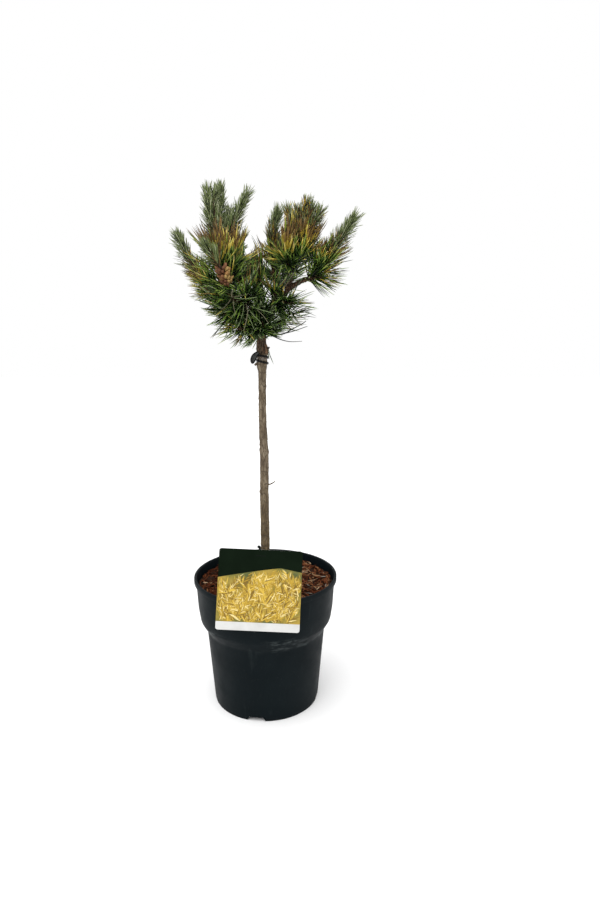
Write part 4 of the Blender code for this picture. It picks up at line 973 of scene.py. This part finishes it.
def make_tie():
    """The rubber tie: two flat turns round the graft, and a broad flattened loop that hangs at the left."""
    angle = np.linspace(*TIE_ANGLES, 150)
    trunk = [trunk_at(height) for height in TIE_FRONT - TIE_PITCH * (angle + math.pi / 2) / math.tau]
    out = around(angle)
    radius = np.array([radius for _, radius in trunk]) + TRUNK_BARK + GAP + TIE_THICKNESS / 2
    path = np.array([axis for axis, _ in trunk]) + out * (radius + 0.0003)[:, None]
    path[:, 2] += 0.0003 * np.sin(angle * 2.3)
    upward = unit(UP - 0.12 * around(angle + math.pi / 2))
    turns = strap_arrays(path, upward, out, TIE_HEIGHT * (1 + 0.1 * np.sin(angle * 1.7)), TIE_THICKNESS)
    loop, sideways, forward, widths = facing_front(TIE_LOOP, 8, TIE_LOOP_WIDTHS)
    thinning = TIE_LOOP_THINNING * np.sin(math.pi * np.linspace(0.0, 1.0, len(loop)))
    face = strap_arrays(loop, sideways, forward, widths, TIE_LOOP_THICKNESS - thinning)
    # The loop's rolled edge
    edge = sideways * (widths / 2 - RIM_INSET)[:, None]
    rim = np.vstack((loop + edge, (loop - edge)[::-1]))
    rim, radii = resampled(rim, np.full(len(rim), TIE_RIM), 0.0009)
    for _ in range(4):
        rim[1:-1] = (rim[:-2] + 2 * rim[1:-1] + rim[2:]) / 4
    rim[:, 1] -= RIM_FORWARD
    rubber = mottled("tie_rubber", (0.004, 0.004, 0.004), 0.4, 0.1, (300.0, 5.0),
                     ((0.35, (0.002, 0.002, 0.002)), (0.7, (0.009, 0.009, 0.01))),
                     ((300.0, 5.0), 0.3, 0.5), ((900.0,), 0.00008))
    # The loop's face is painted lighter grey than the black rubber: a painted highlight.
    wear_and_highlight = mottled("tie_face", (0.02, 0.021, 0.02), 0.45, 0.2, (220.0, 3.0),
                   ((0.3, (0.006, 0.006, 0.006)), (0.65, (0.05, 0.053, 0.05))), bump=((500.0,), 0.0001))
    parts = [turns, face, tube_arrays(rim, radii, 12)]
    finish_piece(add_piece("tie_band", parts, [rubber, wear_and_highlight], (0, 1, 0)), "tie_rubber", "tie")


def tag_place():
    """The tag's plane: it leans back until its back is a gap clear of the pot's rim."""
    lean = Matrix.Rotation(math.radians(90) - TAG_LEAN, 4, "X") @ Matrix.Rotation(-TAG_ROLL, 4, "Z")
    normal = lean.to_3x3() @ Vector((0.0, 0.0, 1.0))
    x, z = TAG_CENTRE
    clear = GAP + TAG_SIZE[2] / 2
    y = RIM_POINT.y + (clear + normal.z * (RIM_POINT.z - z) + normal.x * (RIM_POINT.x - x)) / normal.y
    return Matrix.Translation((x, y, z)) @ lean


def plate(bm, outline, low, high, slot):
    """A flat plate with an outline, between two levels."""
    floor = [bm.verts.new((x, y, low)) for x, y in outline]
    roof = [bm.verts.new((x, y, high)) for x, y in outline]
    faces = [bm.faces.new(roof), bm.faces.new(floor[::-1])]
    for i in range(len(outline)):
        j = (i + 1) % len(outline)
        faces.append(bm.faces.new((floor[i], floor[j], roof[j], roof[i])))
    for face in faces:
        face.material_index = slot


def round_corner(quarter, steps=6):
    """Points round a corner of the tag. The quarters go round from the top right one."""
    r = TAG_CORNER
    x = (TAG_SIZE[0] / 2 - r) * (1 if quarter in (0, 3) else -1)
    y = (TAG_SIZE[1] / 2 - r) * (1 if quarter < 2 else -1)
    turns = [math.pi / 2 * (quarter + i / steps) for i in range(steps + 1)]
    return [(x + r * math.cos(turn), y + r * math.sin(turn)) for turn in turns]


def leaflet(base, heading, length):
    """The outline of a pointed leaflet: its places along X and along Y."""
    turn = ring_of(LEAFLET_POINTS)
    side = 0.055 * length * np.sin(turn) * (1 + 0.5 * np.cos(turn))
    ahead = 0.5 * length * (1 - np.cos(turn))
    return (base[0] + side * math.cos(heading) + ahead * math.sin(heading),
            base[1] - side * math.sin(heading) + ahead * math.cos(heading))


def make_tag():
    """The card: a dark header with a slanted edge, a golden panel of small sprays and a pale foot strip."""
    x, y, front = (size / 2 for size in TAG_SIZE)
    foot_top = TAG_FOOT - y
    level = front + INK
    bm = bmesh.new()
    plate(bm, [point for quarter in range(4) for point in round_corner(quarter)], -front, front, CARD)
    across = np.linspace(-x, x, 25)
    slant = np.interp(across, (-x, HEADER_BEND * x, x), [y - depth for depth in HEADER_DEPTHS])
    slant += HEADER_BOW * np.sin(np.linspace(0.0, math.pi, 25))
    edge = list(zip(across, slant))
    plate(bm, round_corner(0) + round_corner(1) + edge, front, level, HEADER)
    plate(bm, [*edge[::-1], (-x, foot_top), (x, foot_top)], front, level, PANEL)
    half, below, tall = TAG_SLOT
    upper, lower = y - below, y - below - tall
    plate(bm, [(-half, upper), (-half, lower), (half, lower), (half, upper)], level, level + INK, SLOT)
    rng = np.random.default_rng(5)
    for spray in range(SPRAYS):
        # A bowed stalk with pointed leaflets on both sides
        foot = np.array((rng.uniform(-x, x), rng.uniform(foot_top - 0.012, y - HEADER_DEPTHS[0] - 0.008)))
        lean, bow, size = rng.uniform(-1.0, 1.0), rng.uniform(-0.5, 0.5), rng.uniform(*SPRAY_SIZES)
        tones = (YELLOW, GOLD, GOLD, OCHRE) if spray > SPRAYS * 0.5 else (OCHRE, GOLD, OCHRE, YELLOW)
        for leaf in range(LEAFLETS):
            share = (leaf // 2 + 0.5) / (LEAFLETS / 2)
            turned = lean + bow * share
            base = foot + share * size * np.array((math.sin(turned), math.cos(turned)))
            heading = turned + LEAFLET_ANGLE * (0 if leaf == LEAFLETS - 1 else 1 if leaf % 2 else -1)
            px, py = leaflet(base, heading, size * (0.46 - 0.2 * share) * rng.uniform(0.75, 1.15))
            tone = PALE if rng.random() < PALE_SHARE else int(rng.choice(tones))
            if np.all((-x < px) & (px < x) & (foot_top < py) & (py < np.interp(px, across, slant))):
                level += 0.0000001
                plate(bm, list(zip(px, py))[::-1], front + INK * 0.7, level, tone)
    mesh = mesh_from("tag_card", bm)
    card = mottled("card_white", (0.65, 0.65, 0.63), 0.45, 0.15, (60.0, 4.0),
                   ((0.3, (0.5, 0.5, 0.485)), (0.7, (0.57, 0.57, 0.555))), bump=((400.0,), 0.00002))
    header = mottled("card_dark_green", (0.003, 0.007, 0.003), 0.5, 0.03, (25.0, 3.0),
                     ((0.3, (0.002, 0.005, 0.002)), (0.7, (0.004, 0.009, 0.004))), ((80.0,), 0.45, 0.6))
    stops = ((0.34, (0.07, 0.09, 0.035)), (0.46, (0.2, 0.165, 0.035)), (0.62, (0.36, 0.25, 0.05)))
    panel = mottled("card_golden", (0.3, 0.24, 0.05), 0.45, 0.1, (42.0, 3.0, 0.5), stops)
    flat = [material(f"card_{name}", colour, 0.45, 0.1) for name, colour in INK_COLOURS.items()]
    for made in (card, header, panel, *flat):
        mesh.materials.append(made)
    mesh.transform(tag_place())
    finish_piece(placed("tag_card", mesh), "tag_card", "tag")


def make_strap():
    """The strap from behind the tag's top edge, round the trunk, to a short tongue and a folded end."""
    top = tag_place() @ Vector((0.0, TAG_SIZE[1] / 2 - STRAP_WIDTH, -TAG_SIZE[2] / 2 - GAP - STRAP_THICKNESS))
    axis, radius = trunk_at(STRAP_HEIGHT)
    loop = radius + GAP + STRAP_THICKNESS / 2 + 0.0006
    angles = np.radians(np.linspace(*STRAP_TURN, 29))
    turns = axis + loop * around(angles)
    middle = (np.array(top) + np.array((loop, axis[1], STRAP_HEIGHT))) / 2
    path = np.vstack((smooth_path((top, middle, turns[0]), 8)[:-1], turns, [STRAP_TONGUE]))
    w, t, edge = STRAP_WIDTH / 2, STRAP_THICKNESS / 2, STRAP_EDGE
    ring = ((t, w - edge), (t - edge, w), (edge - t, w), (-t, w - edge), (-t, edge - w), (edge - t, -w),
            (t - edge, -w), (t, edge - w))
    sideways = level_frame(path)[0]
    places = np.array([place + side * u + UP * v for place, side in zip(path, sideways) for u, v in ring])
    foot = np.array(((3, 2, 1, 0), (7, 4, 3, 0), (7, 6, 5, 4)))
    last = np.array(((0, 1, 2, 3), (0, 3, 4, 7), (4, 5, 6, 7))) + len(places) - len(ring)
    plastic = mottled("strap_plastic", (0.005, 0.007, 0.006), 0.5, 0.12, (160.0, 4.0),
                      ((0.3, (0.003, 0.005, 0.004)), (0.7, (0.009, 0.012, 0.011))),
                      ((160.0, 4.0), 0.42, 0.58), ((800.0,), 0.00004))
    parts = [(places, np.vstack((walls(len(path), len(ring)), foot, last))),
             strap_arrays(*facing_front(STRAP_FOLD, 6, STRAP_FOLD_WIDTHS), 0.003)]
    finish_piece(add_piece("strap_band", parts, [plastic], smooth=False), "strap_plastic", "tag_strap")


def shoots_of(mass, limbs):
    """The mass's shoots: its stem of last year, its new candles and its finer twigs, each a smooth path."""
    if "tip_of" in mass:
        path = limbs[mass["tip_of"]][0]
        direction = unit(path[-1] - path[-2])
        start = path[-1] - GAP * direction
        stem = np.vstack((start[None], smooth_path((start + STEM_COLLAR * direction, *mass["stem"]), 4)))
    else:
        stem = smooth_path((mass["foot"], *mass["stem"]), 4)
    candles = [("new", smooth_path((stem[-2], *points), 5)) for points in mass.get("candles", ())]
    twigs = [("old", smooth_path(points, 4)) for points in mass.get("twigs", ())]
    return [("old", stem), *candles, *twigs]


class Space:
    """Tells which needles keep to their own mass's space, clear of the limbs and inside the box."""

    def __init__(self, shoots, limbs):
        paths = [(name, path) for name, found in shoots.items() for _, path in found]
        self.owners = np.array([name for name, path in paths for _ in path[1:]])
        self.shoots = self.segments([path for _, path in paths])
        tie = np.array([trunk_at(height)[0] for height in (TIE_FRONT - TIE_PITCH, TIE_FRONT + 2 * TIE_PITCH)])
        limbs = [*limbs.values(), (tie, np.full(2, trunk_at(TIE_FRONT)[1] + 2 * TIE_THICKNESS))]
        self.limbs = self.segments([path for path, _ in limbs])
        self.limb_radii = np.concatenate([np.maximum(radii[:-1], radii[1:]) for _, radii in limbs])
        rods = np.array([*BARE, *((x, -SIGHT_DEPTH, z, far_x, SIGHT_DEPTH, far_z, radius)
                                  for x, z, far_x, far_z, radius in SIGHTS)])
        self.bare, self.bare_radii = (rods[:, :3], rods[:, 3:6]), rods[:, 6]
        self.low, self.high = (np.array(corner) for corner in cad_box)

    @staticmethod
    def segments(paths):
        """The starts and the ends of all the segments of paths."""
        return np.vstack([path[:-1] for path in paths]), np.vstack([path[1:] for path in paths])

    @staticmethod
    def distances(points, segments):
        """The distance of every point to every segment."""
        starts, ends = segments
        run = ends - starts
        offset = points[:, None, :] - starts[None, :, :]
        share = np.einsum("psk,sk->ps", offset, run) / np.einsum("sk,sk->s", run, run)
        return np.linalg.norm(offset - np.clip(share, 0.0, 1.0)[:, :, None] * run[None, :, :], axis=2)

    def allows(self, name, strands):
        """A truth value for each needle."""
        points = strands[:, 1:].reshape(-1, 3)
        shoots = self.distances(points, self.shoots)
        own = shoots[:, self.owners == name].min(axis=1)
        others = shoots[:, self.owners != name].min(axis=1)
        limbs = (self.distances(points, self.limbs) - self.limb_radii).min(axis=1)
        good = np.all((points > self.low) & (points < self.high), axis=1)
        good &= (self.distances(points, self.bare) > self.bare_radii).all(axis=1)
        good &= (own <= others + SHARED) & (limbs > LIMB_CLEARANCE) & (others > STEM_RADIUS[0])
        return good.reshape(len(strands), -1).all(axis=1)


def strands_from(roots, axes, turns, first, last, lengths, droop):
    """Curved needles as stations from root to tip. Their angle to the shoot goes from first to last."""
    one, two = square_to(axes)
    side = one * np.cos(turns)[:, None] + two * np.sin(turns)[:, None]
    middle = (np.arange(STATIONS - 1) + 0.5) / (STATIONS - 1)
    angle = first[:, None] + (last - first)[:, None] * middle
    steps = axes[:, None] * np.cos(angle)[..., None] + side[:, None] * np.sin(angle)[..., None]
    steps[..., 2] -= droop[:, None] * middle
    steps = unit(steps) * (lengths / (STATIONS - 1))[:, None, None]
    return np.concatenate((roots[:, None], roots[:, None] + np.cumsum(steps, axis=1)), axis=1)


def grow_needles(name, age, path, space, rng):
    """Pairs of needles round one shoot by the golden angle, each kept where its space allows it.

    Gives the needles and how far along the shoot each one stands."""
    mass, rule = MASSES[name], NEEDLES[age]
    old, drooping, bare = age == "old", "drooping" in mass, rule["bare"]
    count = int(length_of(path) * rule["per_metre"] * mass.get("density", 1.0))
    length = rule["length"] * (mass.get("length", 1.0) if old else 1.0)
    first, last = DROOPING_SPREAD if old and drooping else rule["spread"]
    number = np.arange(count)
    chosen = np.zeros((count, STATIONS, 3))
    found = np.zeros(count, bool)
    share = bare + (1 - bare) * (number // 2 * 2 + rng.random(count)) / max(count, 1)
    if old:
        share = share ** 0.85
    for attempt in range(TRIES):
        roots, axes = along(path, share)
        spread = np.radians(first + (last - first) * share + rng.normal(0, 7, count))
        bent = spread - np.radians(rng.uniform(*rule["bend"], count))
        turns = GOLDEN_ANGLE * (number // 2) + (number % 2) * 0.16 + rng.normal(0, 0.2, count) + attempt * 0.9
        lengths = length * rng.uniform(0.78, 1.1, count) * (1 - 0.06 * attempt)
        if not old:
            lengths *= 1.06 - 0.36 * share
        droop = rng.uniform(0.0, 0.3, count) * (1.0 if drooping else 0.4) if old else np.zeros(count)
        strands = strands_from(roots, axes, turns, spread, np.maximum(bent, 0.08), lengths, droop)
        good = space.allows(name, strands) & ~found
        chosen[good] = strands[good]
        found |= good
    return chosen[found], share[found]


def needle_arrays(strands, width):
    """Places and triangles of three-sided needles, closed at both ends, and the segment of each triangle."""
    across, upward = level_frame(strands, UP + 1e-4)
    size = (width * np.asarray(NEEDLE_PROFILE))[None, :, None]
    edges = (strands - across * size, strands + across * size, strands + upward * size * 0.9)
    places = np.stack(edges, axis=2)
    last = (STATIONS - 1) * 3
    triangles = walls(STATIONS, 3)[:, ((0, 1, 2), (0, 2, 3))].reshape(-1, 3)
    one = np.vstack((triangles, ((2, 1, 0), (last, last + 1, last + 2))))
    segment = np.concatenate((np.repeat(np.arange(STATIONS - 1), 6), (0, STATIONS - 2)))
    faces = (one[None] + (np.arange(len(strands)) * STATIONS * 3)[:, None, None]).reshape(-1, 3)
    return (places.reshape(-1, 3), faces), np.tile(segment, len(strands))


def colour_old(share, gold, rng):
    """The kind of each old needle: greener below, then gold, then bronze at the shoot's end."""
    roll = rng.random(len(share))
    if gold > 0.3:
        greens, ends = ("old_deep", "old_mid", "old_fresh", "old_shade"), (0.22, 0.5, 0.78)
    else:
        greens, ends = ("old_deep", "old_mid", "old_cool", "old_shade"), (0.3, 0.52, 0.76)
    kinds = np.array(greens)[np.searchsorted(ends, roll)]
    golden = rng.random(len(share)) < np.clip((share - 0.42) / 0.28, 0.0, 0.92) * gold
    kinds = np.where(golden, np.where(roll < 0.62, "old_gold", "old_straw"), kinds)
    browned = golden & (share > 0.64) & (rng.random(len(share)) < 0.9)
    return np.where(browned, np.where(roll < 0.5, "old_bronze", "old_brown"), kinds)


def colour_new(share, bronzed, rust, rng):
    """The kind of each candle needle: brown at the candle's foot, grey-green above."""
    reach, strength, rusty = (1.15, 1.35, 0.55) if bronzed else (rust, 1.3, 0.3)
    roll = rng.random(len(share))
    # Of the grey-green candle needles, the dark ones are painted shade and the pale-tipped ones carry a
    # painted highlight.
    kinds = np.where(roll < 0.45, "new_grey", np.where(roll < 0.74, "new_dusk", "new_pale"))
    brown = rng.random(len(share)) < np.clip(1.0 - share / reach, 0.0, 1.0) * strength
    return np.where(brown, np.where(roll < rusty, "new_rust", "new_brown"), kinds)


def make_foliage(limbs):
    """Every mass of foliage: its stems, candles and twigs with their needles."""
    shoots = {name: shoots_of(mass, limbs) for name, mass in MASSES.items()}
    space = Space(shoots, limbs)
    gathered = {kind: [] for kind in KINDS}
    depth, spacing, sides = TWIG_RELIEF
    twigs = []
    for number, (name, mass) in enumerate(MASSES.items()):
        rng = np.random.default_rng(200 + number)
        for age, path in shoots[name]:
            strands, share = grow_needles(name, age, path, space, rng)
            kinds = (colour_old(share, mass["gold"], rng) if age == "old"
                     else colour_new(share, "bronzed" in mass, mass.get("rust", 0.46), rng))
            for kind in set(kinds):
                gathered[kind].append((strands[kinds == kind], name))
            radii = np.linspace(*(STEM_RADIUS if age == "old" else CANDLE_RADIUS), len(path))
            path, radii = resampled(path, radii, spacing)
            twigs.append(tube_arrays(path, radii, sides, bark_relief(depth)))
    finish_piece(add_piece("twigs", twigs, [bark_material()]), "needles", *MASSES)
    paints = {name: material(f"needle_{name}", colour, 0.5, 0.22) for name, colour in NEEDLE_COLOURS.items()}
    for kind, groups in gathered.items():
        strands = np.vstack([strands for strands, _ in groups])
        age, _ = kind.split("_")
        part, segment = needle_arrays(strands, NEEDLES[age]["width"])
        used = sorted(set(KINDS[kind]), key=KINDS[kind].index)
        tints = np.array([used.index(colour) for colour in KINDS[kind]])[segment]
        piece = add_piece(f"needles_{kind}", [part], [paints[colour] for colour in used], [tints])
        finish_piece(piece, "needles", *sorted({name for _, name in groups}))
    for name, (colours, mass, rows) in LOOSE.items():
        paths = [(radius, smooth_path(points, 8)) for radius, *points in rows]
        tubes = [tube_arrays(path, radius * np.linspace(1.0, 0.4, len(path)), 6) for radius, path in paths]
        materials = [paints[colour] for colour in colours]
        finish_piece(add_piece(name, tubes, materials, np.arange(len(tubes)) % 2), "needles", mass)


def make_cones():
    """A cluster of small pollen cones that stand round the front shoot."""
    rng = np.random.default_rng(7)
    path = np.array(CONE_AXIS)
    climb = np.linspace(0.0, math.pi, CONE_RINGS + 2)[1:-1, None]
    turns = ring_of(CONE_SIDES)
    scales = 1 + 0.16 * np.cos(CONE_SCALES * turns + np.arange(CONE_RINGS)[:, None] * math.pi)
    last, foot = (CONE_RINGS - 1) * CONE_SIDES, CONE_RINGS * CONE_SIDES
    faces = np.vstack((walls(CONE_RINGS, CONE_SIDES), lid(foot, 0, CONE_SIDES)[:, FLIP],
                       lid(foot + 1, last, CONE_SIDES)))
    parts, tints = [], []
    for i in range(CONES):
        root, axis = (value[0] for value in along(path, np.array([i / CONES])))
        one, two = square_to(axis)
        side = one * math.cos(GOLDEN_ANGLE * i) + two * math.sin(GOLDEN_ANGLE * i)
        spread = math.radians(rng.uniform(*CONE_SPREADS))
        heading = axis * math.cos(spread) + side * math.sin(spread)
        length, thick = rng.uniform(*CONE_LENGTHS), rng.uniform(*CONE_RADII)
        centre = root + side * CONE_FOOT + heading * rng.uniform(*CONE_MIDDLES)
        across, upward = square_to(heading)
        radius = thick * np.sin(climb) * scales
        body = (centre + heading * (-np.cos(climb) * length / 2)[..., None]
                + across * (radius * np.cos(turns))[..., None] + upward * (radius * np.sin(turns))[..., None])
        ends = (centre - heading * length / 2, centre + heading * length / 2)
        parts.append((np.vstack((body.reshape(-1, 3), *ends)), faces))
        # The two reddest colours are commoner at the left
        reddish = 0.8 if centre[0] < path[0][0] - 0.004 else 0.45
        tints.append((0 if rng.random() < reddish else 2) + (0 if rng.random() < 0.5 else 1))
    materials = [material(f"cone_{name}", colour, 0.6, 0.25) for name, colour in CONE_COLOURS.items()]
    finish_piece(add_piece("pollen_cones", parts, materials, tints), "needles")


def make_stage():
    """A pale floor, soft lights and the camera."""
    scene = bpy.context.scene
    corners = [(x * FLOOR_HALF, y * FLOOR_HALF, 0.0) for x, y in ((-1, -1), (1, -1), (1, 1), (-1, 1))]
    pale = material("floor_pale", (0.92, 0.92, 0.92), 0.9, 0.1)
    add_piece("floor", [(corners, [(0, 1, 2, 3)])], [pale], smooth=False)
    scene.world = bpy.data.worlds.new("studio")
    scene.world.use_nodes = True
    background = scene.world.node_tree.nodes["Background"].inputs
    background["Color"].default_value = (1.0, 1.0, 1.0, 1.0)
    background["Strength"].default_value = 1.0
    for name, (place, angle, strength) in LAMPS.items():
        lamp = bpy.data.lights.new(name, "SUN")
        lamp.angle = math.radians(angle)
        lamp.energy = strength
        light = placed(name, lamp)
        light.location = place
        light.rotation_euler = (LAMPS_AIM - Vector(place)).to_track_quat("-Z", "Y").to_euler()
    camera = placed("camera", bpy.data.cameras.new("camera"))
    camera.data.sensor_fit = "VERTICAL"
    camera.data.sensor_height = CAMERA_SENSOR
    camera.data.lens = CAMERA_LENS
    camera.data.clip_start = 0.05
    camera.location = CAMERA_PLACE
    camera.rotation_euler = (math.radians(90.0) + CAMERA_PITCH, 0.0, 0.0)
    scene.camera = camera
    scene.view_settings.view_transform = "Standard"


def main():
    """Dresses the frame, then sets the stage."""
    limbs = limb_paths()
    make_pot()
    make_soil()
    make_mulch()
    make_limbs(limbs)
    make_tie()
    make_tag()
    make_strap()
    make_foliage(limbs)
    make_cones()
    make_stage()


main()
